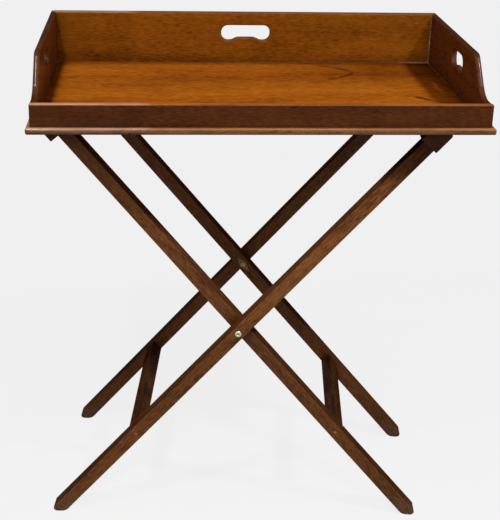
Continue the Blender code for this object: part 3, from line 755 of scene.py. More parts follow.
@dataclass(frozen=True)
class HandledPolish:
    """The uneven gloss of a polish that has been wiped and handled."""

    cloudy: Noise = Noise((11.0, 11.0, 11.0), ripple=0.5)
    wiped: Noise = Noise((7.0, 60.0, 60.0))
    cloudy_share: float = 0.6
    wiped_share: float = 0.4
    rim: Range = (0.35, 0.65)
    dents: Noise = Noise((30.0, 30.0, 30.0), 2.0)

    def make(self) -> Group:
        """Build the group.

        Returns:
            A group that gives a gloss and a height.
        """
        group = Group(
            "handled_polish", {"Place": VECTOR, "Low": FLOAT, "High": FLOAT},
            {"Gloss": FLOAT, "Height": FLOAT},
        )
        sheet, given = group.sheet, group.given
        mixed = sheet.plus(
            sheet.times(sheet.noise(given["Place"], self.cloudy), self.cloudy_share),
            sheet.times(sheet.noise(given["Place"], self.wiped), self.wiped_share),
        )
        group.put("Gloss", sheet.spread(mixed, *self.rim, (given["Low"], given["High"])))
        group.put("Height", sheet.noise(given["Place"], self.dents))
        return group


class Effects:
    """The node groups that more than one material uses."""

    def __init__(self) -> None:
        """Build every shared group once."""
        self.grain = Grain().make()
        self.wear = EDGE_WEAR.make("edge_wear", NodeSheet.bend)
        self.grime = CORNER_GRIME_AND_SHADE.make("corner_grime", NodeSheet.openness)
        self.handling = HandledPolish().make()


def new_material(name: str) -> tuple[Material, NodeSheet, bpy.types.Node]:
    """Start a material.

    Args:
        name: The material's name.
    Returns:
        The material, its node sheet and its Principled shader.
    """
    material = bpy.data.materials.new(name)
    material.use_nodes = True
    return material, NodeSheet(material.node_tree), material.node_tree.nodes["Principled BSDF"]


def rgba(colour: Colour) -> tuple[float, float, float, float]:
    """Return a colour with full alpha."""
    return (*colour, 1.0)


@dataclass(frozen=True)
class Surface:
    """What a wood's marks are drawn by.

    sheet is the material's node sheet, place the place on the board that the piece was cut
    from, spot the place on the object, and facing the way that the surface looks.
    """

    sheet: NodeSheet
    place: Any
    spot: Any
    facing: Any


@dataclass(frozen=True)
class Wood:
    """A polished wood in one colouring.

    light, middle and dark: Its three tones, from its palest streaks to its darkest.
    worn: The colour where the polish is worn off an edge.
    top: The colour painted in patches on the faces that look up: lighter on some woods and darker on others,
    for how light falls on them.
    wax: The old polish left in the deepest corners, from wax_from along X on.
    gloss: The polish's weight along the surface, which dies away over fade.
    top_gloss: The share of it left on the faces that look up.
    rubbed: The place along X from which a painted highlight runs pale along the upper edges to the left, with
    painted shade under it.
    soiled: The heights between which the wood grows darker towards the bottom, to soil_share.
    under_tray: The heights between which the tray's painted shadow begins.
    dusty: The heights between which dust lies on it.
    """

    name: str
    light: Colour
    middle: Colour
    dark: Colour
    worn: Colour
    # Painted light and shade on the faces that look up.
    top: Colour = (0.06, 0.018, 0.006)
    top_share: float = 0.0
    top_rise: Range = (0.45, 0.85)
    top_patches: Noise = Noise((9.0, 60.0, 60.0), rim=(0.30, 0.60), share=(0.45, 1.0))
    contrast: float = 2.6
    wear: float = 0.5
    wear_reach: float = 0.0022
    # Corner darkening: partly grime, partly painted shade where parts meet.
    grime: float = 0.55
    grime_reach: float = 0.030
    wax: Colour = (0.42, 0.30, 0.24)
    wax_share: float = 0.0
    wax_reach: float = 0.005
    wax_rim: Range = (0.25, 0.75)
    wax_from: float = FAR_LEFT
    wax_run: float = 0.01
    wax_specks: Noise = Noise((90.0, 150.0, 150.0), 3.0, rim=(0.42, 0.58), share=(0.35, 1.0))
    gloss: float = 0.10
    fade: Range = (0.70, 0.30)
    smoothness: float = 0.16
    polish: Range = (0.35, 1.0)
    top_gloss: float = 1.0
    top_dull: Range = (0.15, 0.5)
    front_kept: Range = (-0.2, -0.5)
    # A painted highlight on the upper edges at the left end, and painted shade on the faces under it.
    rubbed: float = FAR_LEFT
    rubbed_colour: Colour = (0.52, 0.27, 0.16)
    rubbed_run: float = 0.03
    rubbed_share: float = 0.8
    below_rise: Range = (0.10, -0.30)
    below_share: float = 0.7
    # Darker towards the bottom, and the tray's painted shadow at the top.
    soiled: Range = (0.0, 0.0)
    soil_share: float = 0.0
    under_tray: Range = (0.64, 0.78)
    under_share: float = 0.75
    dust: Colour = (0.15, 0.11, 0.08)
    dusty: Range = (0.045, 0.006)
    dust_share: float = 0.0
    dust_specks: Noise = Noise((160.0, 260.0, 260.0), rim=(0.40, 0.62))
    grain_relief: float = 0.3
    relief: float = 0.35
    relief_depth: float = 0.0004
    roughness: float = 0.6

    def make(
        self, effects: Effects, label: str, turn: Sequence[float] = (0.0, 0.0, 0.0),
        shift: Sequence[float] = (0.0, 0.0, 0.0),
    ) -> Material:
        """Make the wood's material for pieces cut from one board.

        Args:
            effects: The shared node groups.
            label: What the board is used for, added to the material's name.
            turn: Turn that brings the piece's length to the grain's X axis.
            shift: Where the piece was cut from the board.
        Returns:
            The material.
        """
        material, sheet, shader = new_material(f"{self.name}_{label}")
        place = sheet.add(
            "ShaderNodeMapping", {"Vector": sheet.spot(), "Location": shift, "Rotation": turn}
        ).outputs[0]
        surface = Surface(sheet, place, sheet.split(sheet.spot()), sheet.split(sheet.normal()))
        grain = effects.grain.use(sheet, {
            "Place": place, "Light": rgba(self.light), "Middle": rgba(self.middle),
            "Dark": rgba(self.dark), "Contrast": self.contrast,
        })
        wear = effects.wear.mask(sheet, place, self.wear_reach, self.wear)
        grime = effects.grime.mask(sheet, place, self.grime_reach, self.grime)
        polish = effects.handling.use(sheet, {"Place": place, "Low": self.polish[0], "High": self.polish[1]})
        colour = self.soil(surface, self.handle(surface, self.figured(surface, grain["Color"])))
        # Darken corners and recesses: grime, and painted shade where parts meet.
        colour = sheet.darken(grime, colour, rgba(self.dark))
        colour = self.lay_dust(surface, sheet.blend(wear, colour, rgba(self.worn)))
        sheet.feed(shader.inputs["Base Color"], self.lay_wax(surface, effects, colour))
        gloss = sheet.times(self.shine(surface, polish["Gloss"], wear), self.kept_mask(sheet, surface.facing))
        sheet.feed(shader.inputs["Coat Weight"], gloss)
        height = sheet.plus(sheet.times(grain["Height"], self.grain_relief), polish["Height"])
        sheet.emboss(shader, height, self.relief, self.relief_depth)
        shader.inputs["Roughness"].default_value = self.roughness
        shader.inputs["Specular IOR Level"].default_value = 0.0
        shader.inputs["Coat Roughness"].default_value = self.smoothness
        return material

    def figured(self, surface: Surface, colour: Any) -> Any:
        """Return the grain's colour, which a wood with a figure of its own draws on."""
        return colour

    def handle(self, surface: Surface, colour: Any) -> Any:
        """Paint light and shade on the faces that look up, a highlight on the left ones and shade under it.

        Args:
            surface: What the marks are drawn by.
            colour: The wood's colour.
        Returns:
            The colour with its painted light and shade.
        """
        sheet, rise = surface.sheet, surface.facing["Z"]
        patchy = sheet.patches(surface.place, self.top_patches)
        painted_top = sheet.times(sheet.spread(rise, *self.top_rise), patchy)
        # Painted light and shade: faces that look up take the top colour in patches.
        colour = sheet.blend(sheet.times(painted_top, self.top_share), colour, rgba(self.top))
        # Painted highlight on the upward faces to the left of rubbed.
        if self.rubbed <= FAR_LEFT:
            return colour
        start, end = self.rubbed, self.rubbed - self.rubbed_run
        left = sheet.spread(surface.spot["X"], start, end, (0.0, self.rubbed_share))
        colour = sheet.blend(sheet.times(painted_top, left), colour, rgba(self.rubbed_colour))
        # Painted shade on the faces that look down, under that highlight.
        below = sheet.times(sheet.spread(rise, *self.below_rise, (0.0, self.below_share)), left)
        return sheet.darken(below, colour, rgba(self.dark))

    def soil(self, surface: Surface, colour: Any) -> Any:
        """Darken the wood towards the bottom, and paint the tray's shadow at the top.

        Args:
            surface: What the marks are drawn by.
            colour: The wood's colour.
        Returns:
            The darkened colour, with the tray's painted shadow.
        """
        if self.soil_share <= 0.0:
            return colour
        sheet, height = surface.sheet, surface.spot["Z"]
        # Darker towards the bottom; above, the painted shadow of the tray.
        low = sheet.spread(height, *self.soiled, (0.0, self.soil_share))
        low_and_tray_shadow = sheet.most(low, sheet.spread(height, *self.under_tray, (0.0, self.under_share)))
        return sheet.darken(low_and_tray_shadow, colour, rgba(self.dark))

    def lay_dust(self, surface: Surface, colour: Any) -> Any:
        """Lay dust on the wood's lowest part.

        Args:
            surface: What the marks are drawn by.
            colour: The wood's colour.
        Returns:
            The dusty colour.
        """
        if self.dust_share <= 0.0:
            return colour
        sheet = surface.sheet
        low = sheet.spread(surface.spot["Z"], *self.dusty, (0.0, self.dust_share))
        dust = sheet.times(sheet.patches(surface.place, self.dust_specks), low)
        return sheet.blend(dust, colour, rgba(self.dust))

    def lay_wax(self, surface: Surface, effects: Effects, colour: Any) -> Any:
        """Leave old wax in the deepest corners.

        Args:
            surface: What the marks are drawn by.
            effects: The shared node groups.
            colour: The wood's colour.
        Returns:
            The waxed colour.
        """
        if self.wax_share <= 0.0:
            return colour
        sheet = surface.sheet
        deep = effects.grime.mask(sheet, surface.place, self.wax_reach, self.wax_share)
        wax = sheet.times(sheet.spread(deep, *self.wax_rim), self.wax_mask(surface))
        return sheet.blend(wax, colour, rgba(self.wax))

    def wax_mask(self, surface: Surface) -> Any:
        """Return where the corners still hold wax: in specks, from one place along X on.

        Args:
            surface: What the marks are drawn by.
        Returns:
            A mask.
        """
        sheet = surface.sheet
        right = sheet.spread(surface.spot["X"], self.wax_from, self.wax_from + self.wax_run)
        return sheet.times(sheet.patches(surface.place, self.wax_specks), right)

    def shine(self, surface: Surface, polish: Any, wear: Any) -> Any:
        """Weigh the polish, which dies away along the surface and is off where it is worn.

        Args:
            surface: What the marks are drawn by.
            polish: The handled polish's gloss.
            wear: The worn edges' mask.
        Returns:
            The polish's weight.
        """
        sheet = surface.sheet
        grazing = sheet.add("ShaderNodeLayerWeight").outputs["Facing"]
        gloss = sheet.times(polish, sheet.spread(grazing, *self.fade, (0.0, self.gloss)))
        return sheet.times(gloss, sheet.minus(1.0, wear))

    def kept_mask(self, sheet: NodeSheet, facing: Any) -> Any:
        """Return where the polish is kept: less on top, all of it on the front."""
        top = sheet.spread(facing["Z"], *self.top_dull, (1.0, self.top_gloss))
        return sheet.most(top, sheet.spread(facing["Y"], *self.front_kept))


@dataclass(frozen=True)
class FloorWood(Wood):
    """The floor board's wood, with the flame and the knot streak that grew in it."""

    wander: Noise = Noise((40.0, 90.0, 1.0))
    flame_tip: Range = (0.200, 0.132)
    flame_size: Range = (-0.068, 0.062)
    flame_curl: float = 0.7
    flame_wander: float = 0.5
    flame_line: float = 0.17
    flame_fade: Range = (1.7, 0.4)
    flame_start: Range = (-0.06, 0.03)
    flame_share: float = 0.85
    flame_colour: Colour = (0.085, 0.019, 0.004)
    knot_centre: Range = (0.297, -0.047)
    knot_size: Range = (0.0190, 0.0060)
    knot_turn: float = math.radians(-43.0)
    knot_rim: Range = (1.15, 0.6)
    knot_share: float = 0.95
    knot_colour: Colour = (0.050, 0.012, 0.004)
    corner_x: Range = (0.03, 0.24)
    corner_y: Range = (0.01, 0.12)
    corner_share: float = 0.40
    # Painted shadows of the end walls: dark bands along each end of the floor.
    left_edge: Range = (-0.349, -0.353)
    right_edge: Range = (0.302, 0.316)
    edge_share: Range = (0.62, 0.50)
    edge_wander: float = 0.008
    right_specks: Noise = Noise((110.0, 110.0, 110.0), 3.0, rim=(0.50, 0.56))
    speck_x: Range = (0.30, 0.34)
    speck_y: Range = (0.02, 0.13)
    seam_patches: Noise = Noise((25.0, 25.0, 25.0), 3.0, rim=(0.35, 0.6), share=(0.35, 0.85))
    seam: Range = (0.190, 0.203)

    def local(self, sheet: NodeSheet, centre: Range, size: Range, turn: float = 0.0) -> Any:
        """Measure a place from a mark's centre, in the mark's own size.

        Args:
            sheet: The material's node sheet.
            centre: The mark's place on the board.
            size: Its half length and half width.
            turn: Its turn on the board.
        Returns:
            A vector that is one unit long at the mark's rim.
        """
        inputs = {
            "Vector": sheet.spot(), "Location": (*centre, 0.0), "Rotation": (0.0, 0.0, turn),
            "Scale": (*size, FAR),
        }
        return sheet.add("ShaderNodeMapping", inputs, vector_type="TEXTURE").outputs[0]

    def figured(self, surface: Surface, colour: Any) -> Any:
        """Draw the flame, the knot streak and the painted shadows of the end walls on the grain.

        Args:
            surface: What the marks are drawn by.
            colour: The grain's colour.
        Returns:
            The figured colour.
        """
        sheet = surface.sheet
        wander = sheet.minus(sheet.noise(sheet.spot(), self.wander), MIDWAY)
        colour = sheet.blend(self.flame(sheet, wander), colour, rgba(self.flame_colour))
        knot = self.local(sheet, self.knot_centre, self.knot_size, self.knot_turn)
        reach = sheet.plus(sheet.length(knot), wander)
        streak = sheet.spread(reach, *self.knot_rim, (0.0, self.knot_share))
        colour = sheet.blend(streak, colour, rgba(self.knot_colour))
        spot = surface.spot
        far = sheet.times(sheet.spread(spot["X"], *self.corner_x), sheet.spread(spot["Y"], *self.corner_y))
        colour = sheet.darken(sheet.times(far, self.corner_share), colour, rgba(self.dark))
        # Painted shadows of the end walls, as dark bands along both ends.
        run = sheet.plus(spot["X"], sheet.times(wander, self.edge_wander))
        left = sheet.spread(run, *self.left_edge, (0.0, self.edge_share[0]))
        right = sheet.spread(run, *self.right_edge, (0.0, self.edge_share[1]))
        return sheet.darken(sheet.most(left, right), colour, rgba(self.dark))

    def flame(self, sheet: NodeSheet, wander: Any) -> Any:
        """Draw the line of the flame, whose two arms run to the left from its tip.

        Args:
            sheet: The material's node sheet.
            wander: How far the line strays.
        Returns:
            The line's mask.
        """
        spot = sheet.split(self.local(sheet, self.flame_tip, self.flame_size))
        arm = sheet.maths("POWER", sheet.most(spot["X"], 0.0), self.flame_curl)
        off = sheet.size(sheet.minus(sheet.size(spot["Y"]), arm))
        off = sheet.plus(off, sheet.times(wander, self.flame_wander))
        line = sheet.times(sheet.spread(off, self.flame_line, 0.0), sheet.spread(spot["X"], *self.flame_fade))
        return sheet.times(line, sheet.spread(spot["X"], *self.flame_start, (0.0, self.flame_share)))

    def wax_mask(self, surface: Surface) -> Any:
        """Return where the floor's corners hold wax: along the back, and in specks at the right.

        Args:
            surface: What the marks are drawn by.
        Returns:
            A mask.
        """
        sheet, place, spot = surface.sheet, surface.place, surface.spot
        right = sheet.times(sheet.patches(place, self.right_specks), sheet.spread(spot["X"], *self.speck_x))
        right = sheet.times(right, sheet.spread(spot["Y"], *self.speck_y))
        back = sheet.times(sheet.patches(place, self.seam_patches), sheet.spread(spot["Y"], *self.seam))
        return sheet.most(right, back)


@dataclass(frozen=True)
class Metal:
    """An old metal: its clean colour, its tarnish and how rough it has become."""

    name: str
    clean: Colour
    tarnish: Colour
    roughness: Range = (0.28, 0.55)
    tarnished: float = 0.6
    blotches: Noise = Noise((420.0, 420.0, 420.0), 5.0, rim=(0.40, 0.62))
    wear_reach: float = 0.0008
    wear_share: float = 0.5
    grime_reach: float = 0.006
    dents: Noise = Noise((900.0, 900.0, 900.0), 3.0)
    relief: float = 0.3
    relief_depth: float = 0.0001

    def make(self, effects: Effects) -> Material:
        """Make the metal's material.

        Args:
            effects: The shared node groups.
        Returns:
            The material.
        """
        material, sheet, shader = new_material(self.name)
        place = sheet.spot()
        wear = effects.wear.mask(sheet, place, self.wear_reach, 1.0)
        grime = effects.grime.mask(sheet, place, self.grime_reach, 1.0)
        cover = sheet.times(sheet.patches(place, self.blotches), self.tarnished)
        cover = sheet.plus(cover, grime, clamp=True)
        cover = sheet.minus(cover, sheet.times(wear, self.wear_share), clamp=True)
        colour = sheet.blend(cover, rgba(self.clean), rgba(self.tarnish))
        sheet.feed(shader.inputs["Base Color"], colour)
        sheet.feed(shader.inputs["Roughness"], sheet.spread(cover, 0.0, 1.0, self.roughness))
        sheet.emboss(shader, sheet.noise(place, self.dents), self.relief, self.relief_depth)
        shader.inputs["Metallic"].default_value = 1.0
        return material


@dataclass(frozen=True)
class Woven:
    """Plain-woven jute webbing with two stripes, drawn on the piece's own UV map in metres."""

    name: str = "jute_webbing"
    warp: Colour = (0.36, 0.27, 0.16)
    weft: Colour = (0.27, 0.19, 0.105)
    stripe: Colour = (0.16, 0.045, 0.03)
    yarn: float = 0.0021
    width: float = 0.050
    crossing: Range = (-0.25, 0.25)
    fuzz: Noise = Noise((2600.0, 900.0, 1.0), 3.0)
    fuzz_relief: float = 0.35
    patches: Noise = Noise((14.0, 40.0, 1.0), rim=(0.35, 0.75), share=(0.0, 0.45))
    stripe_place: float = 0.34
    stripe_rim: Range = (0.0016, 0.0011)
    stripe_share: float = 0.75
    relief: float = 0.8
    relief_depth: float = 0.0004
    roughness: float = 0.92
    specular: float = 0.2

    def make(self) -> Material:
        """Make the webbing's material.

        Returns:
            The material.
        """
        material, sheet, shader = new_material(self.name)
        uv = sheet.add("ShaderNodeUVMap", uv_map="cloth").outputs[0]
        parts = sheet.split(uv)
        turns = 2.0 * QUARTER_TURN / self.yarn
        along = sheet.maths("SINE", sheet.times(parts["X"], turns))
        across = sheet.maths("SINE", sheet.times(parts["Y"], turns))
        over = sheet.spread(sheet.times(along, across), *self.crossing)
        colour = sheet.blend(over, rgba(self.weft), rgba(self.warp))
        from_middle = sheet.size(sheet.minus(parts["Y"], self.width / 2.0))
        off_stripe = sheet.size(sheet.minus(from_middle, self.width * self.stripe_place))
        striped = sheet.spread(off_stripe, *self.stripe_rim)
        colour = sheet.blend(sheet.times(striped, self.stripe_share), colour, rgba(self.stripe))
        colour = sheet.darken(sheet.patches(uv, self.patches), colour, rgba(self.weft))
        sheet.feed(shader.inputs["Base Color"], colour)
        bulge = sheet.times(sheet.size(along), sheet.size(across))
        height = sheet.plus(bulge, sheet.times(sheet.noise(uv, self.fuzz), self.fuzz_relief))
        sheet.emboss(shader, height, self.relief, self.relief_depth)
        shader.inputs["Roughness"].default_value = self.roughness
        shader.inputs["Specular IOR Level"].default_value = self.specular
        return material


# Its corner darkening is set strong and far-reaching to paint shade along the walls' feet.
FLOOR_WOOD = FloorWood(
    "floor_mahogany", light=(0.460, 0.144, 0.010), middle=(0.310, 0.080, 0.005),
    dark=(0.120, 0.026, 0.004), worn=(0.36, 0.13, 0.03), wax=(0.27, 0.14, 0.08), wear=0.25,
    gloss=0.05, smoothness=0.30, wax_share=1.0, contrast=2.4, grime=0.85, grime_reach=0.040,
)
# Its top paints a pinkish line of light along the back's upper edge, with a painted highlight at the left
# end.
BACK_WOOD = Wood(
    "floor_mahogany", light=(0.320, 0.102, 0.007), middle=(0.215, 0.061, 0.004),
    dark=(0.075, 0.020, 0.003), worn=(0.13, 0.050, 0.022), wax=(0.38, 0.26, 0.19), wear=0.6,
    top=(0.17, 0.066, 0.032), gloss=0.05, smoothness=0.30, wax_share=1.0, wax_from=0.30,
    wax_reach=0.006, top_share=0.9, top_gloss=0.3, contrast=2.4, rubbed=-0.20,
    rubbed_colour=(0.40, 0.25, 0.17),
)
# Its top paints the ends' upper edges dark, as shade.
WALL_WOOD = Wood(
    "wall_mahogany", light=(0.176, 0.048, 0.011), middle=(0.118, 0.031, 0.008),
    dark=(0.045, 0.012, 0.004), worn=(0.055, 0.019, 0.009), top=(0.030, 0.010, 0.005), gloss=0.45,
    smoothness=0.12, fade=(1.0, 0.92), top_share=0.75, top_gloss=0.10, wax_share=0.5, wax_from=0.30,
)
# Its top paints the rail's top pale with light, with a painted highlight at the left end.
RAIL_WOOD = Wood(
    "wall_mahogany", light=(0.125, 0.036, 0.008), middle=(0.080, 0.021, 0.004),
    dark=(0.030, 0.007, 0.002), worn=(0.22, 0.09, 0.04), top=(0.32, 0.104, 0.026), gloss=0.2,
    smoothness=0.24, wear=0.55, top_share=0.95, rubbed=-0.175,
)
# Its top paints a highlight on the nose, whiter at the left end, with painted shade under it.
MOULDING_WOOD = Wood(
    "moulding_mahogany", light=(0.26, 0.098, 0.029), middle=(0.170, 0.058, 0.016),
    dark=(0.060, 0.020, 0.007), worn=(0.34, 0.15, 0.05), top=(0.40, 0.16, 0.043),
    gloss=0.8, smoothness=0.18, top_share=0.8, rubbed=-0.175, rubbed_colour=(0.60, 0.36, 0.26),
)
# Its top paints the legs' upper side faces dark, as shade; the wood grows darker towards the bottom, and the
# tray's shadow is painted at the top.
STAND_WOOD = Wood(
    "stand_mahogany", light=(0.262, 0.097, 0.031), middle=(0.174, 0.062, 0.019),
    # worn paints pale wear on the arrises, and also a painted glint along the legs' edges.
    dark=(0.056, 0.019, 0.007), worn=(0.26, 0.15, 0.10), top=(0.026, 0.009, 0.005), gloss=0.15,
    smoothness=0.26, contrast=3.0, wear=0.65, wear_reach=0.0014, top_share=1.0, soiled=(0.54, 0.36),
    soil_share=0.22, dust_share=0.75,
)
SHADED_WOOD = Wood(
    "stand_mahogany", light=(0.170, 0.064, 0.023), middle=(0.112, 0.040, 0.014),
    dark=(0.038, 0.014, 0.007), worn=(0.14, 0.08, 0.045), gloss=0.15,
    smoothness=0.26, wear=0.5, wear_reach=0.0014, dust_share=0.6,
)
LIT_WOOD = replace(
    STAND_WOOD, light=(0.300, 0.110, 0.033), middle=(0.200, 0.070, 0.020), under_tray=(0.672, 0.700)
)
# A much darker copy of the stand's mahogany for the top rails: painted shade under the tray.
SHADED_TOP_RAIL_WOOD = Wood(
    "stand_mahogany", light=(0.095, 0.036, 0.014), middle=(0.062, 0.022, 0.009),
    dark=(0.022, 0.008, 0.004), worn=(0.10, 0.055, 0.032), gloss=0.12,
    smoothness=0.26, wear=0.4, wear_reach=0.0014,
)
PEG_WOOD = Wood(
    "peg_wood", light=(0.42, 0.22, 0.10), middle=(0.33, 0.16, 0.07), dark=(0.14, 0.05, 0.02),
    worn=(0.40, 0.21, 0.11), grime_reach=0.003,
)
SPECIAL_WOODS = {
    "_leg_back": SHADED_WOOD, "outer_leg_front": LIT_WOOD, "_top_rail": SHADED_TOP_RAIL_WOOD, "_peg_": PEG_WOOD,
}
BRASS = Metal("aged_brass", clean=(0.80, 0.72, 0.50), tarnish=(0.24, 0.17, 0.075))
# A darker copy of the brass for the back crossing, to paint its shade.
SHADED_BRASS = Metal(
    "dull_brass", clean=(0.30, 0.22, 0.10), tarnish=(0.090, 0.055, 0.022), tarnished=0.9,
    roughness=(0.40, 0.65),
)
PLATE_BRASS = Metal(
    "worn_brass", clean=(0.17, 0.105, 0.045), tarnish=(0.060, 0.028, 0.010), tarnished=1.0,
    roughness=(0.45, 0.70),
)
STEEL = Metal("old_steel", clean=(0.30, 0.29, 0.27), tarnish=(0.055, 0.040, 0.030), tarnished=0.8)


@dataclass
class TrayWalls:
    """The four walls round the tray's floor, joined by lapped dovetails."""

    effects: Effects
    edge_round: float = 0.0036
    rail_round: float = 0.0024
    back_corner: float = 0.0035
    corner_ease: float = 0.0005
    lap: float = 0.0035
    front_tails: int = 2
    back_tails: int = 4
    tail_share: float = 0.6
    tail_slope: float = 1.0 / 6.0
    sweep_foot: float = 0.0515
    sweep_angle: float = math.radians(46.0)
    shoulder_radius: float = 0.022
    flare_radius: float = 0.045
    hole_width: float = 0.094
    end_hole_width: float = 0.074
    hole_top: float = 0.0725
    hole_bottom: float = 0.0435
    hole_rise: float = 0.0055
    hole_end_radius: float = 0.013
    hole_lobe: float = 0.029
    hole_waist_run: float = 0.008
    hole_knee: float = 0.0050
    end_hole_shift: float = -0.003
    corner_cuts: int = 6
    pieces: dict[str, Work] = field(default_factory=dict)

    def __post_init__(self) -> None:
        """Read the walls' places from the frame."""
        self.board_low, self.board_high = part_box("tray_board")
        self.rail_low, self.rail_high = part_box("tray_rail_front")
        self.gallery_low, self.gallery_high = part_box("gallery_back")
        self.base = self.board_high.z
        self.rail_back = self.rail_high.y + SEAM
        self.gallery_front = self.gallery_low.y - SEAM
        self.tail_length = self.rail_high.y - self.rail_low.y - self.lap

    def tail(self, height: float, count: int, index: int) -> Triple:
        """Place one tail of a joint.

        Args:
            height: The joint's height.
            count: How many tails share it.
            index: Which tail, from the bottom.
        Returns:
            Its middle's height, half its root and half its tip.
        """
        pitch = height / count
        root = pitch * self.tail_share / 2.0
        return self.base + pitch * (index + 0.5), root, root + self.tail_length * self.tail_slope

    def add_tails(self, work: Work, face: Depth, height: float, count: int) -> None:
        """Draw the tails out of one end of a blank.

        Args:
            work: The end wall's blank.
            face: The end that gets the tails.
            height: The joint's height.
            count: How many tails.
        """
        root_y = self.rail_back if face is Depth.FRONT else self.gallery_front
        outward = Vector((0.0, face.value * self.tail_length, 0.0))
        for index in range(count):
            middle, root, tip = self.tail(height, count, index)
            for edge in (middle - root, middle + root):
                work.slice((0.0, 0.0, edge), UP)
            work.draw_out(
                lambda f: f.normal.y * face.value > FACING
                and abs(f.calc_center_median().y - root_y) < TOUCH
                and abs(f.calc_center_median().z - middle) < root,
                outward, (1.0, 1.0, tip / root),
            )

    def cut_sockets(self, work: Work, face: Depth, height: float, count: int) -> None:
        """Chop the sockets for both ends' tails out of the front rail or the gallery.

        Args:
            work: The rail or gallery.
            face: Which of the two it is.
            height: The joint's height.
            count: How many tails.
        """
        mouth = self.rail_high.y if face is Depth.FRONT else self.gallery_low.y
        depth = self.tail_length + SEAM
        for side in Side:
            inner, outer = sorted(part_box(f"tray_end_{side.label}")[i].x for i in (0, 1))
            low_x = inner - (SEAM if side is Side.RIGHT else OVERRUN)
            high_x = outer + (SEAM if side is Side.LEFT else OVERRUN)
            for index in range(count):
                middle, root, tip = self.tail(height, count, index)
                near, far = sorted((mouth, mouth + face.value * depth))
                tool = Work.block(
                    "socket", (low_x, near, middle - root - SEAM), (high_x, far, middle + root + SEAM)
                )
                out_of_mouth = Vector((0.0, -face.value * OVERRUN, 0.0))
                tool.draw_out(lambda f: f.normal.y * face.value < -FACING, out_of_mouth)
                with editing(tool.piece) as shell:
                    tool.pick_faces(shell, lambda f: f.normal.y * face.value > FACING)
                    bpy.ops.transform.resize(value=(1.0, 1.0, (tip + SEAM) / (root + SEAM)))
                work.cut(tool)

    def hand_hole(self, centre: Vector, along: Vector, width: float) -> Work:
        """Shape the cutter for a kidney-shaped hand hole.

        Args:
            centre: Middle of the wall's foot below the hole.
            along: The way that the hole runs.
            width: Its length along the wall.
        Returns:
            The cutter.
        """
        half, waist = width / 2.0, width / 2.0 - self.hole_lobe
        tool = Work.block("hand_hole", (-half, -width, self.hole_bottom), (half, width, self.hole_top))
        for x in (-waist - self.hole_waist_run, -waist, waist, waist + self.hole_waist_run):
            tool.slice((x, 0.0, 0.0), (1.0, 0.0, 0.0))
        tool.move_faces(
            lambda f: looks_down(f) and abs(f.calc_center_median().x) < waist,
            UP * self.hole_rise,
        )
        tool.clean()
        middle_z = (self.hole_top + self.hole_bottom) / 2.0
        tool.bevel_edges(
            lambda e: all(abs(abs(v.co.x) - half) < TOUCH for v in e.verts)
            and abs(e.verts[0].co.y - e.verts[1].co.y) > half,
            self.hole_end_radius, steps=10,
        )
        tool.bevel_edges(
            lambda e: all(abs(v.co.x) < half - self.hole_end_radius and v.co.z < middle_z for v in e.verts)
            and abs(e.verts[0].co.y - e.verts[1].co.y) > half and e.calc_face_angle(0.0) > CORNER_ANGLE / 2.0,
            self.hole_knee, steps=4,
        )
        turn = Matrix.Rotation(math.atan2(along.y, along.x), 4, "Z")
        return tool.place(Matrix.Translation(centre) @ turn)

    def sweep_waste(self, low_x: float, high_x: float) -> Work:
        """Shape the waste that is sawn off an end to make its sweep.

        Args:
            low_x: The end's left face.
            high_x: Its right face.
        Returns:
            The cutter, with the flare's curve on its lower back edge.
        """
        level = self.rail_high.z
        top = self.gallery_high.z + OVERRUN
        foot = self.rail_low.y + self.sweep_foot
        waste = Work.block(
            "sweep_waste", (low_x - OVERRUN, self.rail_low.y - OVERRUN, level), (high_x + OVERRUN, foot, top)
        )
        with editing(waste.piece) as shell:
            for vertex in shell.verts:
                vertex.select = vertex.co.y > foot - TOUCH and vertex.co.z > top - TOUCH
            shell.select_flush_mode()
            bmesh.update_edit_mesh(waste.piece.data)
            bpy.ops.transform.translate(value=(0.0, (top - level) / math.tan(self.sweep_angle), 0.0))
        return waste.bevel_edges(
            lambda e: all(abs(v.co.y - foot) < TOUCH and abs(v.co.z - level) < TOUCH for v in e.verts),
            self.flare_radius * math.tan(self.sweep_angle / 2.0), steps=12,
        )

    def build_end(self, side: Side) -> Work:
        """Build an end: dovetailed, swept down to the front rail and pierced.

        Args:
            side: Which end.
        Returns:
            The end on the bench.
        """
        name = f"tray_end_{side.label}"
        low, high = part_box(name)
        work = Work.block(name, (low.x, self.rail_back, self.base), (high.x, self.gallery_front, high.z))
        self.add_tails(work, Depth.FRONT, self.rail_high.z - self.base, self.front_tails)
        self.add_tails(work, Depth.BACK, self.gallery_high.z - self.base, self.back_tails)
        work.clean()
        middle = Vector(((low.x + high.x) / 2.0, self.end_hole_shift, self.base))
        hole = self.hand_hole(middle, Vector((0.0, 1.0, 0.0)), self.end_hole_width)
        work.cut(self.sweep_waste(low.x, high.x), hole)
        head = self.rail_low.y + self.sweep_foot
        head += (self.gallery_high.z - self.rail_high.z) / math.tan(self.sweep_angle)
        work.bevel_edges(
            lambda e: all(abs(v.co.y - head) < SEAM and v.co.z > high.z - TOUCH for v in e.verts),
            self.shoulder_radius * math.tan(self.sweep_angle / 2.0), steps=10,
        )
        return work.bevel_edges(lambda e: self.is_rim(e, low, high), self.edge_round, steps=5)

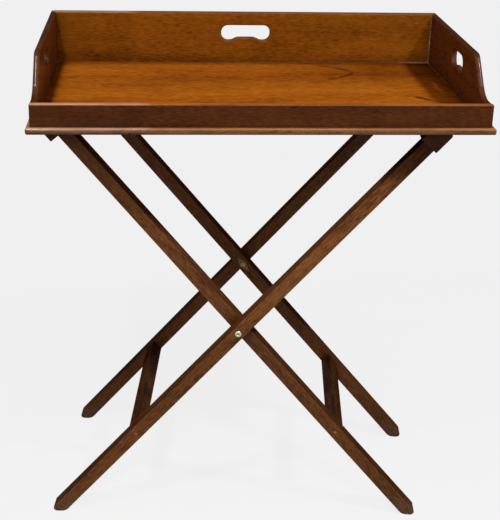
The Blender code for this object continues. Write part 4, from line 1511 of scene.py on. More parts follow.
    def is_rim(self, edge: Edge, low: Vector, high: Vector) -> bool:
        """Tell whether an edge of an end is on its top or its hand hole's rim.

        Args:
            edge: The edge.
            low: The end's lowest corner.
            high: Its highest corner.
        Returns:
            True where the edge is to be rounded.
        """
        ends = [v.co for v in edge.verts]
        on_face = any(all(abs(end.x - x) < TOUCH for end in ends) for x in (low.x, high.x))
        at_front = all(end.y < self.rail_back + TOUCH for end in ends)
        at_back = all(end.y > self.gallery_front - TOUCH for end in ends)
        at_foot = all(end.z < self.base + TOUCH for end in ends)
        inside = on_face and not (at_front or at_back or at_foot)
        return inside and edge.calc_face_angle(0.0) > CORNER_ANGLE

    def build_rail(self) -> Work:
        """Build the low front rail, rounded along its top.

        Returns:
            The rail on the bench.
        """
        low, high = self.rail_low.copy(), self.rail_high.copy()
        low.z = self.base
        work = Work.block("tray_rail_front", low, high)
        work.bevel_edges(
            lambda e: all(v.co.z > high.z - TOUCH for v in e.verts)
            and abs(e.verts[0].co.y - e.verts[1].co.y) < TOUCH,
            self.rail_round, steps=5,
        )
        work.ease_sharp_edges(self.corner_ease, steps=2)
        self.cut_sockets(work, Depth.FRONT, self.rail_high.z - self.base, self.front_tails)
        return work

    def build_gallery(self) -> Work:
        """Build the tall back with its hand hole and its upper corners rounded.

        Returns:
            The back on the bench.
        """
        low, high = self.gallery_low.copy(), self.gallery_high.copy()
        low.z = self.base
        work = Work.block("gallery_back", low, high)
        middle = Vector((0.0, (low.y + high.y) / 2.0, self.base))
        work.cut(self.hand_hole(middle, Vector((1.0, 0.0, 0.0)), self.hole_width))
        work.bevel_edges(
            lambda e: all(abs(v.co.x) > high.x - TOUCH and v.co.y > high.y - TOUCH for v in e.verts),
            self.back_corner, steps=6,
        )
        work.bevel_edges(
            lambda e: any(all(abs(v.co.y - y) < TOUCH for v in e.verts) for y in (low.y, high.y))
            and all(abs(v.co.x) < self.hole_width for v in e.verts)
            and all(v.co.z < high.z - TOUCH for v in e.verts)
            or all(v.co.z > high.z - TOUCH for v in e.verts)
            and abs(e.verts[0].co.y - e.verts[1].co.y) < TOUCH,
            self.edge_round, steps=5,
        )
        work.ease_sharp_edges(self.corner_ease, steps=2)
        for side in Side:
            centre = Vector((side.value * (high.x - self.edge_round), 0.0, high.z - self.edge_round))
            for step in range(1, self.corner_cuts):
                turn = QUARTER_TURN * step / self.corner_cuts
                way = Vector((side.value * math.cos(turn), 0.0, math.sin(turn)))
                work.slice(centre + way * self.edge_round, way, saw=True)
        self.cut_sockets(work, Depth.BACK, self.gallery_high.z - self.base, self.back_tails)
        return work

    def build(self) -> None:
        """Build all four walls."""
        self.pieces = {f"tray_end_{side.label}": self.build_end(side) for side in Side}
        self.pieces["tray_rail_front"] = self.build_rail()
        self.pieces["gallery_back"] = self.build_gallery()

    def dress(self) -> None:
        """Finish the walls: the back like the floor, the others darker."""
        along_y = (0.0, 0.0, -QUARTER_TURN)
        upright = (QUARTER_TURN, 0.0, 0.0)
        finishes = {
            "tray_end_left": (WALL_WOOD, along_y, (0.31, 0.12, 0.40)),
            "tray_end_right": (WALL_WOOD, along_y, (1.27, 0.52, 0.10)),
            "tray_rail_front": (RAIL_WOOD, upright, (2.10, 0.30, 0.90)),
            "gallery_back": (BACK_WOOD, upright, (3.40, 1.70, 0.20)),
        }
        for name, (wood, turn, shift) in finishes.items():
            piece = self.pieces[name].smooth()
            material = wood.make(self.effects, name, turn, shift)
            hand_over(piece, Body.TRAY, material, wood.name, name)


@dataclass
class TrayFloor:
    """The tray's board, the nosed strips round it and the screws that hold the walls."""

    effects: Effects
    nose: float = 0.0048
    tip_radius: float = 0.0055
    tip_cuts: Range = (0.125, 0.375)
    screw_length: float = 0.028
    screw_core: float = 0.0018
    screw_head: float = 0.0038
    screw_rim: float = 0.0003
    screw_tip: float = 0.004
    screw_point: float = 0.12
    slot_width: float = 0.0009
    slot_depth: float = 0.0009
    slot_ease: float = 0.0009 / 8.0
    slot_turn: float = 1.1
    strips: dict[str, Work] = field(default_factory=dict)
    screws: list[Work] = field(default_factory=list)

    def build_strip(self, name: str, outward: Vector) -> Work:
        """Build one strip with a round nose and mitred ends.

        Args:
            name: The strip's name.
            outward: The way that it faces.
        Returns:
            The strip on the bench.
        """
        low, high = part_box(name)
        board_low, board_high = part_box("tray_board")
        if outward.x + outward.y > 0.0:
            low = low - outward * (low.dot(outward) - board_high.dot(outward))
        else:
            high = high - outward * (high.dot(outward) - board_low.dot(outward))
        work = Work.block(name, low, high)
        edge = max(low.dot(outward), high.dot(outward))
        work.bevel_edges(
            lambda e: all(abs(v.co.dot(outward) - edge) < TOUCH for v in e.verts)
            and abs(e.verts[0].co.z - e.verts[1].co.z) < TOUCH,
            self.nose, steps=8,
        )
        along = Vector((-outward.y, outward.x, 0.0))
        for way in (-1.0, 1.0):
            normal = (way * along - outward).normalized()
            tip = way * along + outward
            corner = Vector((math.copysign(board_high.x, tip.x), math.copysign(board_high.y, tip.y), 0.0))
            work.slice(corner - normal * SEAM, normal, saw=True)
            self.round_tip(work, outward, along * way, edge)
        return work

    def round_tip(self, work: Work, outward: Vector, along: Vector, edge: float) -> None:
        """Wear the outer corner of a strip's mitre round, half on each strip.

        Args:
            work: The mitred strip.
            outward: The way that the strip faces.
            along: The way to the mitre.
            edge: How far out the strip's nose reaches along outward.
        """
        tip = max(v.co.dot(along) for v in work.piece.data.vertices)
        centre = outward * (edge - self.tip_radius) + along * (tip - self.tip_radius)
        for share in self.tip_cuts:
            angle = share * QUARTER_TURN
            normal = outward * math.cos(angle) + along * math.sin(angle)
            work.slice(centre + normal * self.tip_radius, normal, saw=True)

    def build_screw(self) -> Work:
        """Build a countersunk screw with a slotted head, tip up, standing on z = 0.

        Returns:
            The screw on the bench.
        """
        head_depth = self.screw_head - self.screw_core
        screw = Work.bar("board_screw", self.screw_head, 0.0, self.screw_rim, sides=32)
        narrow = self.screw_core / self.screw_head
        steps = (
            (head_depth, narrow), (self.screw_length - self.screw_tip - head_depth, 1.0),
            (self.screw_tip - self.slot_depth, self.screw_point),
        )
        for rise, scale in steps:
            screw.draw_out(looks_up, UP * rise, (scale, scale, 1.0))
        slot = Work.block(
            "slot", (-self.screw_head * 2.0, -self.slot_width / 2.0, -OVERRUN),
            (self.screw_head * 2.0, self.slot_width / 2.0, self.slot_depth),
        )
        return screw.cut(slot).ease_sharp_edges(self.slot_ease, steps=2)

    def build(self) -> None:
        """Build the strips, and one screw that is copied to its places."""
        outward = {
            "moulding_front": Vector((0.0, -1.0, 0.0)), "moulding_back": Vector((0.0, 1.0, 0.0)),
            "moulding_left": Vector((-1.0, 0.0, 0.0)), "moulding_right": Vector((1.0, 0.0, 0.0)),
        }
        self.strips = {name: self.build_strip(name, way) for name, way in outward.items()}
        pattern = self.build_screw()
        names = sorted(name for name in frame["nodes"] if name.startswith("board_screw_"))
        for number, name in enumerate(names):
            low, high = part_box(name)
            foot = Vector(((low.x + high.x) / 2.0, (low.y + high.y) / 2.0, low.z))
            turn = Matrix.Rotation(number * self.slot_turn, 4, "Z")
            self.screws.append(pattern.copy(name, Matrix.Translation(foot) @ turn))
        bpy.data.objects.remove(pattern.piece, do_unlink=True)

    def dress(self) -> None:
        """Finish the board, the strips and the screws."""
        board = frame["nodes"]["tray_board"]
        board.data.materials.clear()
        board.data.materials.append(FLOOR_WOOD.make(self.effects, "board", shift=(0.62, 0.35, 0.0)))
        log.info("tray_board keeps its frame mesh with a new finish")
        long_way = MOULDING_WOOD.make(self.effects, "long_strips", shift=(0.2, 0.9, 0.3))
        short_way = MOULDING_WOOD.make(
            self.effects, "short_strips", (0.0, 0.0, -QUARTER_TURN), (0.7, 0.1, 0.6)
        )
        for name, work in self.strips.items():
            finish = long_way if name in ("moulding_front", "moulding_back") else short_way
            hand_over(work.smooth(), Body.TRAY, finish, MOULDING_WOOD.name, name)
        steel = STEEL.make(self.effects)
        for work in self.screws:
            hand_over(work.smooth(), Body.TRAY, steel, "steel", work.name)


@dataclass
class StandSizes:
    """What the stand's two frames, pivots and webbing share."""

    lean: float = math.radians(40.65)
    depth: float = 0.358
    leg_width: float = 0.023
    leg_thick: float = 0.028
    spacer_thick: float = 0.0016
    rail_width: float = 0.035
    rail_thick: float = 0.046
    rail_round: float = 0.0045
    rail_heel: float = 0.006
    web_thick: float = 0.0015
    gap: float = 0.0003

    def __post_init__(self) -> None:
        """Work out the places that follow from the sizes and the frame."""
        fold = next(joint for joint in frame["joints"] if joint["name"] == "stand_fold")
        self.pivot = Vector(fold["pos_m"])
        self.turn = -math.atan2(fold["axis"][0], fold["axis"][1])
        self.outer_y = (self.depth - self.leg_thick) / 2.0
        self.inner_y = self.outer_y - self.leg_thick - self.spacer_thick
        rise = self.rail_width / 2.0 * math.sin(self.lean)
        self.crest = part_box("tray_board")[0].z - self.pivot.z - self.web_thick - 2.0 * self.gap
        self.rail_top = (self.crest + rise) / math.cos(self.lean)
        self.rail_inner_top = (self.crest - rise) / math.cos(self.lean)
        self.rail_bottom = self.rail_top - self.rail_thick

    def matrix(self, low: float = 0.0) -> Matrix:
        """Return the place of the outer frame for 1, the inner for -1, the upright stand for 0."""
        upright = Matrix.Translation(self.pivot) @ Matrix.Rotation(self.turn, 4, "Z")
        return upright @ Matrix.Rotation(low * self.lean, 4, "Y")


@dataclass
class StandFrame:
    """One of the stand's two frames: two legs, a top rail, a stretcher and its pegs."""

    effects: Effects
    sizes: StandSizes
    body: Body
    low: float
    leg_y: float
    plate_side: float
    arris: float = 0.0012
    heel_radius: float = 0.0065
    toe_radius: float = 0.018
    rail_arris: float = 0.0015
    stretcher_below: float = 0.281
    stretcher_width: float = 0.022
    stretcher_height: float = 0.024
    peg_radius: float = 0.0028
    peg_proud: float = 0.0004
    peg_length: float = 0.034
    plate_length: float = 0.036
    plate_width: float = 0.0155
    plate_let_in: float = 0.0008
    bolt_radius: float = 0.0035
    board_step: Triple = (0.37, 0.11, 0.23)
    pieces: dict[str, Work] = field(default_factory=dict)

    @property
    def label(self) -> str:
        """The frame's name inside piece names."""
        return self.body.value.split("_")[0]

    def build_leg(self, face: Depth) -> Work:
        """Build a leg: squared, cut level at the foot, rounded there and eased all over.

        Args:
            face: The front or the back leg.
        Returns:
            The leg, still upright in its frame's axes.
        """
        half = self.sizes.leg_width / 2.0
        sine, cosine = math.sin(self.sizes.lean), math.cos(self.sizes.lean)
        heel_z = -(self.sizes.pivot.z + half * sine) / cosine
        toe_z = -(self.sizes.pivot.z - half * sine) / cosine
        y = face.value * self.leg_y
        thick = self.sizes.leg_thick / 2.0
        work = Work.block(
            f"{self.label}_leg_{face.label}",
            (-half, y - thick, heel_z - OVERRUN), (half, y + thick, self.sizes.rail_bottom),
        )
        work.slice((self.low * half, 0.0, toe_z), (self.low * sine, 0.0, -cosine), saw=True)
        heel, toe = Vector((-self.low * half, 0.0, heel_z)), Vector((self.low * half, 0.0, toe_z))
        work.round_corner(heel, (UP, toe - heel), self.heel_radius)
        work.round_corner(toe, (UP, heel - toe), self.toe_radius, steps=3)
        top = self.sizes.rail_bottom
        work.bevel_edges(
            lambda e: e.calc_face_angle(0.0) > CORNER_ANGLE and min(v.co.z for v in e.verts) < top - TOUCH,
            self.arris,
        )
        run = self.sizes.depth
        bore = Work.bar("bore", self.bolt_radius + self.sizes.gap, -run, run, sides=32)
        work.cut(bore.place(FLAT_TO_UPRIGHT))
        plate_y = y + face.value * self.plate_side * (thick - self.plate_let_in + OVERRUN / 2.0)
        recess = self.lozenge("recess", OVERRUN, SEAM)
        return work.cut(recess.place(Matrix.Translation((0.0, plate_y, 0.0)) @ FLAT_TO_UPRIGHT))

    def lozenge(self, name: str, thick: float, grow: float = 0.0) -> Work:
        """Shape a four-cornered plate that lies flat, its long way along Y.

        Args:
            name: The piece's name.
            thick: Its thickness.
            grow: How much wider it is all round.
        Returns:
            The plate on the bench.
        """
        work = Work.bar(name, 1.0, -thick / 2.0, thick / 2.0, sides=4)
        long_half = self.plate_length / 2.0 + grow * self.plate_length / self.plate_width
        scale = Matrix.Diagonal((self.plate_width / 2.0 + grow, long_half, 1.0, 1.0))
        return work.place(scale)

    def build_top_rail(self) -> Work:
        """Build the rail on top of the legs, its top level and rounded where the webbing turns.

        Returns:
            The rail, still upright in its frame's axes.
        """
        half, run = self.sizes.rail_width / 2.0, self.sizes.depth / 2.0
        top, lean = self.sizes.rail_top, self.sizes.lean
        work = Work.block(
            f"{self.label}_top_rail",
            (-half, -run, self.sizes.rail_bottom + SEAM), (half, run, top + OVERRUN),
        )
        level = (-self.low * math.sin(lean), 0.0, math.cos(lean))
        work.slice((self.low * half, 0.0, top), level, saw=True)
        outer = Vector((self.low * half, 0.0, top))
        inner = Vector((-self.low * half, 0.0, self.sizes.rail_inner_top))
        work.round_corner(outer, (-UP, inner - outer), self.sizes.rail_round)
        work.round_corner(inner, (-UP, outer - inner), self.sizes.rail_heel, steps=3)
        return work.ease_sharp_edges(self.rail_arris, steps=4)

    def build_stretcher(self) -> Work:
        """Build the low bar between the legs.

        Returns:
            The bar, still upright in its frame's axes.
        """
        half, run = self.stretcher_width / 2.0, self.leg_y - self.sizes.leg_thick / 2.0
        work = Work.block(
            f"{self.label}_stretcher",
            (-half, -run, -self.stretcher_below - self.stretcher_height / 2.0),
            (half, run, -self.stretcher_below + self.stretcher_height / 2.0),
        )
        return work.bevel_edges(lambda e: abs(e.verts[0].co.y - e.verts[1].co.y) > run, self.arris)

    def build_peg(self, face: Depth) -> Work:
        """Build a dowel whose domed end shows on a leg's outside.

        Args:
            face: The front or the back peg.
        Returns:
            The peg on the bench.
        """
        name = f"{self.label}_peg_{face.label}"
        work = Work.bar(name, self.peg_radius, -self.peg_length, 0.0, sides=32)
        work.bevel_edges(lambda e: all(v.co.z > -TOUCH for v in e.verts), self.peg_proud, steps=3)
        reach = self.leg_y + self.sizes.leg_thick / 2.0 + self.peg_proud
        turn = Matrix.Rotation(-face.value * QUARTER_TURN, 4, "X")
        place = Matrix.Translation((0.0, face.value * reach, -self.stretcher_below))
        return work.place(place @ turn)

    def build(self) -> None:
        """Build the frame's pieces and lean them into place."""
        works = [self.build_leg(face) for face in Depth]
        works += [self.build_peg(face) for face in Depth]
        works += [self.build_top_rail(), self.build_stretcher()]
        place = self.sizes.matrix(self.low)
        self.pieces = {work.name: work.place(place) for work in works}

    def dress(self) -> None:
        """Finish the frame, each piece with the grain along its length."""
        to_leg = self.sizes.matrix(self.low).to_3x3().inverted()
        up_to_x = Matrix.Rotation(QUARTER_TURN, 3, "Y")
        side_to_x = Matrix.Rotation(-QUARTER_TURN, 3, "Z")
        leg_turn = tuple((up_to_x @ to_leg).to_euler())
        bar_turn = tuple((side_to_x @ to_leg).to_euler())
        for number, (name, work) in enumerate(self.pieces.items()):
            special = (wood for part, wood in SPECIAL_WOODS.items() if part in name)
            wood = next(special, STAND_WOOD)
            turn = leg_turn if "_leg_" in name else bar_turn
            along, up, deep = (step * number for step in self.board_step)
            material = wood.make(self.effects, name, turn, (along + self.low, up, deep))
            hand_over(work.smooth(), self.body, material, STAND_WOOD.name, name)


@dataclass
class Pivot:
    """The brass of one crossing: a bolt riveted over a ring, a spacer and two plates."""

    effects: Effects
    sizes: StandSizes
    frames: tuple[StandFrame, StandFrame]
    face: Depth
    head_radius: float = 0.0062
    head_height: float = 0.0030
    rivet_radius: float = 0.0046
    rivet_height: float = 0.0016
    ring_radius: float = 0.0056
    ring_thick: float = 0.0009
    spacer_radius: float = 0.009
    plate_thick: float = 0.0010
    plate_ease: float = 0.0010 / 4.0
    ring_ease: float = 1.0 / 6.0
    head_crown: float = 0.95
    dimple: float = 0.0024
    dimple_floor: float = 0.2
    rivet_crown: float = 0.9
    rivet_taper: float = 0.99
    pieces: dict[str, tuple[Work, Body]] = field(default_factory=dict)

    def is_end(self, face: Face) -> bool:
        """Tell whether a face is the bolt's lower end, and not a facet of its head."""
        return looks_down(face) and face.calc_area() > self.frames[0].bolt_radius ** 2

    def is_crown(self, face: Face) -> bool:
        """Tell whether a face is the flat on top of the bolt's head."""
        return face.normal.z > SQUARELY and face.calc_center_median().z > self.head_height - TOUCH

    def is_dimple(self, face: Face) -> bool:
        """Tell whether a face is the middle of the head's flat, where the dimple goes."""
        return face.normal.z > SQUARELY and all(v.co.xy.length < self.dimple + NEAR for v in face.verts)

    def build_bolt(self) -> Work:
        """Build the bolt along Z: its head's seat at z = 0, its riveted end below.

        Returns:
            The bolt on the bench.
        """
        core = self.frames[0].bolt_radius
        grip = self.sizes.outer_y - self.sizes.inner_y + self.sizes.leg_thick
        proud = self.plate_thick - self.frames[0].plate_let_in
        work = Work.bar(f"pivot_bolt_{self.face.label}", self.head_radius, 0.0, self.head_height)
        crown = self.head_height * self.head_crown
        work.bevel_edges(
            lambda e: all(v.co.z > self.head_height - TOUCH for v in e.verts), crown, steps=8
        )
        work.inset_face(self.is_crown, self.head_radius - crown - self.dimple)
        work.draw_out(
            self.is_dimple, UP * -self.dimple, (self.dimple_floor, self.dimple_floor, 1.0)
        )
        length = grip + 2.0 * proud + self.ring_thick + self.sizes.gap
        steps = (
            (TOUCH, core / self.head_radius), (length, 1.0),
            (TOUCH, self.rivet_radius / core), (self.rivet_height, self.rivet_taper),
        )
        for drop, scale in steps:
            work.draw_out(self.is_end, UP * -drop, (scale, scale, 1.0))
        end = -length - self.rivet_height
        return work.bevel_edges(
            lambda e: all(v.co.z < end + self.rivet_height / 4.0 for v in e.verts),
            self.rivet_height * self.rivet_crown, steps=5,
        )

    def build_ring(self, name: str, radius: float, thick: float, top: float) -> Work:
        """Build a washer along Z.

        Args:
            name: The piece's name.
            radius: Its outer radius.
            thick: Its thickness.
            top: The height of its upper face.
        Returns:
            The washer on the bench.
        """
        hole = self.frames[0].bolt_radius + self.sizes.gap / 2.0
        work = Work.bar(name, radius, top - thick, top)
        return work.bore_through(radius - hole).ease_sharp_edges(thick * self.ring_ease, steps=2)

    def build(self) -> None:
        """Build the crossing's brass and set it on the legs' faces."""
        side = self.face.value
        outer, inner = self.frames
        outer_face = self.sizes.outer_y + self.sizes.leg_thick / 2.0
        inner_face = self.sizes.inner_y - self.sizes.leg_thick / 2.0
        proud = self.plate_thick - outer.plate_let_in
        seat = Matrix.Translation((0.0, side * outer_face, 0.0))
        seat = seat @ Matrix.Rotation(-side * QUARTER_TURN, 4, "X")
        bolt = self.build_bolt().place(Matrix.Translation((0.0, 0.0, proud)))
        under = inner_face - outer_face - proud
        ring = self.build_ring(f"pivot_rove_{self.face.label}", self.ring_radius, self.ring_thick, under)
        washer = self.build_ring(
            f"pivot_spacer_{self.face.label}", self.spacer_radius,
            self.sizes.spacer_thick - 2.0 * SEAM, -self.sizes.leg_thick - SEAM,
        )
        place = self.sizes.matrix(outer.low) @ seat
        self.pieces = {
            bolt.name: (bolt.place(place), Body.OUTER),
            washer.name: (washer.place(place), Body.OUTER),
            ring.name: (ring.place(place), Body.INNER),
        }
        for own, face_y, way in ((outer, outer_face, 1.0), (inner, inner_face, -1.0)):
            name = f"pivot_plate_{self.face.label}_{own.label}"
            plate = own.lozenge(name, self.plate_thick).ease_sharp_edges(self.plate_ease)
            y = side * (face_y + way * (proud - self.plate_thick / 2.0))
            lie = Matrix.Translation((0.0, y, 0.0)) @ FLAT_TO_UPRIGHT
            self.pieces[name] = (plate.place(self.sizes.matrix(own.low) @ lie), own.body)

    def dress(self, turned: Material, plates: Material) -> None:
        """Finish the brass: turned for the bolt and its rings, and darker for the plates."""
        for name, (work, body) in self.pieces.items():
            hand_over(work.smooth(), body, plates if "_plate_" in name else turned, "brass", name)


@dataclass
class Webbing:
    """The woven bands that stop the stand from opening further, and their tacks."""

    effects: Effects
    sizes: StandSizes
    width: float = 0.050
    tail_share: float = 0.80
    step: float = 0.002
    turn_steps: int = 16
    columns: int = 14
    sag: float = 0.0012
    bend_reach: float = 0.295
    tack_radius: float = 0.0042
    tack_height: float = 0.0018
    tack_crown: float = 0.95
    tack_length: float = 0.009
    tack_shank: float = 0.0009
    tack_point: float = 0.1
    bands: list[Work] = field(default_factory=list)
    tacks: list[tuple[Work, Body]] = field(default_factory=list)

    def path(self) -> list[Vector]:
        """Follow the band's middle line from the left rail's outer side to the right rail's.

        Returns:
            Its points, in the upright stand's X and Z.
        """
        size = self.sizes
        offset = size.gap + size.web_thick / 2.0
        half, radius = size.rail_width / 2.0, size.rail_round
        sine, cosine = math.sin(size.lean), math.cos(size.lean)
        arm = half - radius
        crown = (size.crest - radius + arm * sine) / cosine
        start, end = 2.0 * QUARTER_TURN, QUARTER_TURN - size.lean
        points = [Vector((-half - offset, size.rail_top - size.rail_thick * self.tail_share))]
        for index in range(self.turn_steps + 1):
            angle = start + (end - start) * index / self.turn_steps
            points.append(Vector((
                -arm + (radius + offset) * math.cos(angle), crown + (radius + offset) * math.sin(angle),
            )))
        left = [Vector((p.x * cosine - p.y * sine, p.x * sine + p.y * cosine)) for p in points]
        rail_edge = half * cosine - size.rail_inner_top * sine
        left.append(Vector((rail_edge - size.rail_heel, left[-1].y)))
        return left + [Vector((-p.x, p.y)) for p in reversed(left)]

    def build_band(self, name: str) -> tuple[Work, float]:
        """Build one band as a strip that follows the path and hangs a little slack.

        Args:
            name: The band's name.
        Returns:
            The band and the length it was cut to.
        """
        path = self.path()
        reach = [0.0]
        for first, second in zip(path, path[1:]):
            reach.append(reach[-1] + (second - first).length)
        length = reach[-1]
        rows = round(length / self.step)
        deselect_all()
        bpy.ops.mesh.primitive_grid_add(x_subdivisions=rows, y_subdivisions=self.columns, size=1.0)
        band = bpy.context.object
        centre = self.sizes.matrix().inverted() @ node_centre(name)
        cloth = band.data.uv_layers[0]
        cloth.name = "cloth"
        for loop in cloth.data:
            loop.uv = (loop.uv.x * length, loop.uv.y * self.width)
        free = next(i for i, (a, b) in enumerate(zip(path, path[1:])) if (b - a).length > self.width)
        for vertex in band.data.vertices:
            distance = (vertex.co.x + 0.5) * length
            across = vertex.co.y * self.width
            index = min(max(i for i, r in enumerate(reach) if r <= distance + TOUCH), len(path) - 2)
            share = (distance - reach[index]) / (reach[index + 1] - reach[index])
            point = path[index].lerp(path[index + 1], share)
            drop = self.sag * math.sin(math.pi * share) if index == free else 0.0
            vertex.co = (point.x, centre.y + across, point.y - drop)
        thicken = band.modifiers.new("cloth", "SOLIDIFY")
        thicken.thickness = self.sizes.web_thick
        thicken.offset = 0.0
        make_active(band)
        bpy.ops.object.modifier_apply(modifier=thicken.name)
        work = Work(band, name).place(self.sizes.matrix())
        bpy.ops.object.shade_smooth_by_angle(angle=CORNER_ANGLE)
        return work, length

    def build_tack(self) -> Work:
        """Build a tack along Z, the underside of its domed head at z = 0.

        Returns:
            The tack on the bench.
        """
        work = Work.bar("tack", self.tack_radius, 0.0, self.tack_height, sides=32)
        work.bevel_edges(
            lambda e: all(v.co.z > TOUCH for v in e.verts), self.tack_height * self.tack_crown,
            steps=6,
        )
        steps = ((TOUCH, self.tack_shank / self.tack_radius), (self.tack_length, self.tack_point))
        for drop, scale in steps:
            work.draw_out(looks_down, UP * -drop, (scale, scale, 1.0))
        return work

    def build(self) -> None:
        """Build the three bands, and one tack that is copied to its places."""
        pattern = self.build_tack()
        for label in ("front", "middle", "back"):
            band, length = self.build_band(f"webbing_{label}")
            self.bands.append(band)
            for body, low in ((Body.OUTER, 1.0), (Body.INNER, -1.0)):
                for number in (1, 2):
                    name = f"tack_{body.value.split('_')[0]}_{label}_{number}"
                    self.tacks.append((self.set_tack(pattern, name, low), body))
        bpy.data.objects.remove(pattern.piece, do_unlink=True)

    def set_tack(self, pattern: Work, name: str, low: float) -> Work:
        """Copy the tack to its place on a rail's outer side.

        Args:
            pattern: The tack to copy.
            name: The copy's name, which is also its node's.
            low: 1 on the outer frame's rail, -1 on the inner frame's.
        Returns:
            The copy on the bench.
        """
        axes = self.sizes.matrix(low)
        centre = axes.inverted() @ node_centre(name)
        seat = self.sizes.rail_width / 2.0 + self.sizes.web_thick + self.sizes.gap
        place = Matrix.Translation((low * seat, centre.y, centre.z))
        return pattern.copy(name, axes @ place @ Matrix.Rotation(low * QUARTER_TURN, 4, "Y"))

    def dress(self) -> None:
        """Finish the bands and tacks, and put each band's place into its mesh."""
        jute = Woven().make()
        steel = STEEL.make(self.effects)
        for work in self.bands:
            band = work.piece
            band.data.materials.clear()
            band.data.materials.append(jute)
            ends = [self.sizes.matrix() @ Vector((x, 0.0, 0.0)) for x in (self.bend_reach, -self.bend_reach)]
            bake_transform(band)
            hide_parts(work.name)
            log.info("%s bends between the two frames", band.name)
        for work, body in self.tacks:
            hand_over(work.smooth(), body, steel, "steel", work.name)


@dataclass(frozen=True)
class Softbox:
    """A square lamp: where it hangs, where it points, its side and its power."""

    name: str
    place: Triple
    aim: Triple
    side: float
    watts: float


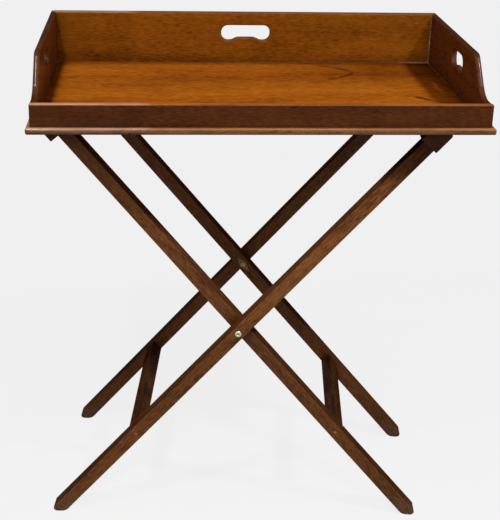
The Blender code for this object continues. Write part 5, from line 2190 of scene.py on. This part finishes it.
@dataclass
class Studio:
    """The pale floor, the lamps and the camera."""

    backdrop: float = 0.871
    ambient: float = 0.10
    floor_side: float = 60.0
    floor_grey: float = 0.60
    shadow_share: float = 0.12
    shadow_lift: float = 1.09
    shadow_reach: Range = (1.2, 3.0)
    softboxes: tuple[Softbox, ...] = (
        Softbox("lamp_left", (-0.73, -1.40, 2.85), (0.0, 0.0, 0.75), 0.18, 30.0),
        Softbox("lamp_right", (1.35, -1.20, 2.85), (0.0, 0.0, 0.75), 0.18, 35.0),
        Softbox("lamp_top", (0.20, -0.70, 3.00), (0.0, 0.0, 0.75), 1.20, 6.0),
        Softbox("lamp_front", (-0.85, -3.00, 1.90), (0.0, 0.0, 0.60), 1.20, 18.0),
        Softbox("glint_left", (-0.62, -0.70, 2.86), (0.0, 0.0, 0.85), 0.07, 3.0),
        Softbox("glint_right", (1.05, -0.70, 2.86), (0.0, 0.0, 0.85), 0.07, 3.0),
    )
    camera_place: Triple = (-0.1670, -1.9780, 1.3295)
    camera_yaw: float = math.radians(3.886)
    camera_pitch: float = math.radians(21.324)
    camera_roll: float = math.radians(-1.211)
    sensor: float = 36.0
    lens: float = 82.59
    shift: Range = (0.0353, -0.1019)

    def build_camera(self) -> None:
        """Set up the camera where the photograph was taken from."""
        bpy.ops.object.camera_add()
        camera = bpy.context.object
        camera.name = "camera"
        aim = Matrix.Rotation(-self.camera_yaw, 4, "Z")
        aim = aim @ Matrix.Rotation(QUARTER_TURN - self.camera_pitch, 4, "X")
        roll = Matrix.Rotation(-self.camera_roll, 4, "Z")
        camera.matrix_world = Matrix.Translation(self.camera_place) @ aim @ roll
        camera.data.sensor_fit = "HORIZONTAL"
        camera.data.sensor_width = self.sensor
        camera.data.lens = self.lens
        camera.data.shift_x, camera.data.shift_y = self.shift
        bpy.context.scene.camera = camera

    def build_lamps(self) -> None:
        """Hang the lamps and point them at the object."""
        for box in self.softboxes:
            bpy.ops.object.light_add(type="AREA", location=box.place)
            lamp = bpy.context.object
            lamp.name = box.name
            lamp.data.size = box.side
            lamp.data.energy = box.watts
            aim = Vector(box.aim) - Vector(box.place)
            lamp.rotation_euler = aim.to_track_quat("-Z", "Y").to_euler()

    def background_share(self, sheet: NodeSheet) -> Any:
        """Tell apart the rays that see the background itself from those that only carry light.

        Args:
            sheet: The node sheet of the world or the floor.
        Returns:
            1 for a camera, glossy or transmission ray.
        """
        path = sheet.add("ShaderNodeLightPath").outputs
        seen = sheet.most(path["Is Camera Ray"], path["Is Glossy Ray"])
        return sheet.most(seen, path["Is Transmission Ray"])

    def build_world(self) -> None:
        """Give the world the background's grey, and a weaker, even light."""
        world = bpy.data.worlds.new("studio")
        world.use_nodes = True
        sheet = NodeSheet(world.node_tree)
        node = world.node_tree.nodes["Background"]
        node.inputs["Color"].default_value = rgba(WHITE)
        strength = sheet.spread(self.background_share(sheet), 0.0, 1.0, (self.ambient, self.backdrop))
        sheet.feed(node.inputs["Strength"], strength)
        bpy.context.scene.world = world

    def build_floor(self) -> None:
        """Lay the pale floor, which keeps a light shadow and is open from below."""
        deselect_all()
        bpy.ops.mesh.primitive_plane_add(size=self.floor_side)
        floor = bpy.context.object
        floor.name = floor.data.name = "studio_floor"
        material, sheet, shader = new_material("studio_floor")
        shader.inputs["Base Color"].default_value = rgba((self.floor_grey,) * 3)
        shader.inputs["Roughness"].default_value = 1.0
        shader.inputs["Specular IOR Level"].default_value = 0.0
        away = sheet.length(sheet.spot())
        flat = sheet.spread(away, *self.shadow_reach, (1.0 - self.shadow_share, 1.0))
        lift = sheet.spread(away, *self.shadow_reach, (self.shadow_lift, 1.0))
        glow = sheet.add("ShaderNodeEmission", {"Color": rgba((self.backdrop,) * 3), "Strength": lift})
        share = sheet.times(self.background_share(sheet), flat)
        lit = sheet.add("ShaderNodeMixShader", {0: share, 1: shader.outputs[0], 2: glow.outputs[0]})
        below = sheet.add("ShaderNodeNewGeometry").outputs["Backfacing"]
        clear = sheet.add("ShaderNodeBsdfTransparent").outputs[0]
        sided = sheet.add("ShaderNodeMixShader", {0: below, 1: lit.outputs[0], 2: clear})
        output = next(n for n in sheet.tree.nodes if n.type == "OUTPUT_MATERIAL")
        sheet.feed(output.inputs["Surface"], sided.outputs[0])
        floor.data.materials.append(material)

    def build(self) -> None:
        """Set up the whole studio."""
        self.build_floor()
        self.build_world()
        self.build_lamps()
        self.build_camera()
        bpy.context.scene.view_settings.view_transform = "Standard"
        log.info("studio is lit")


def main() -> None:
    """Build the studio and every sub-assembly in order."""
    logging.basicConfig(level=logging.INFO, format="%(name)s: %(message)s")
    Studio().build()
    effects = Effects()
    sizes = StandSizes()
    outer = StandFrame(effects, sizes, Body.OUTER, low=1.0, leg_y=sizes.outer_y, plate_side=1.0)
    inner = StandFrame(effects, sizes, Body.INNER, low=-1.0, leg_y=sizes.inner_y, plate_side=-1.0)
    # The back crossing's brass is a darker copy: painted shade.
    turned = {Depth.FRONT: BRASS.make(effects), Depth.BACK: SHADED_BRASS.make(effects)}
    plates = PLATE_BRASS.make(effects)
    for assembly in (TrayWalls(effects), TrayFloor(effects), outer, inner, Webbing(effects, sizes)):
        assembly.build()
        assembly.dress()
    for face in Depth:
        pivot = Pivot(effects, sizes, (outer, inner), face)
        pivot.build()
        pivot.dress(turned[face], plates)


if __name__ == "__main__":
    main()
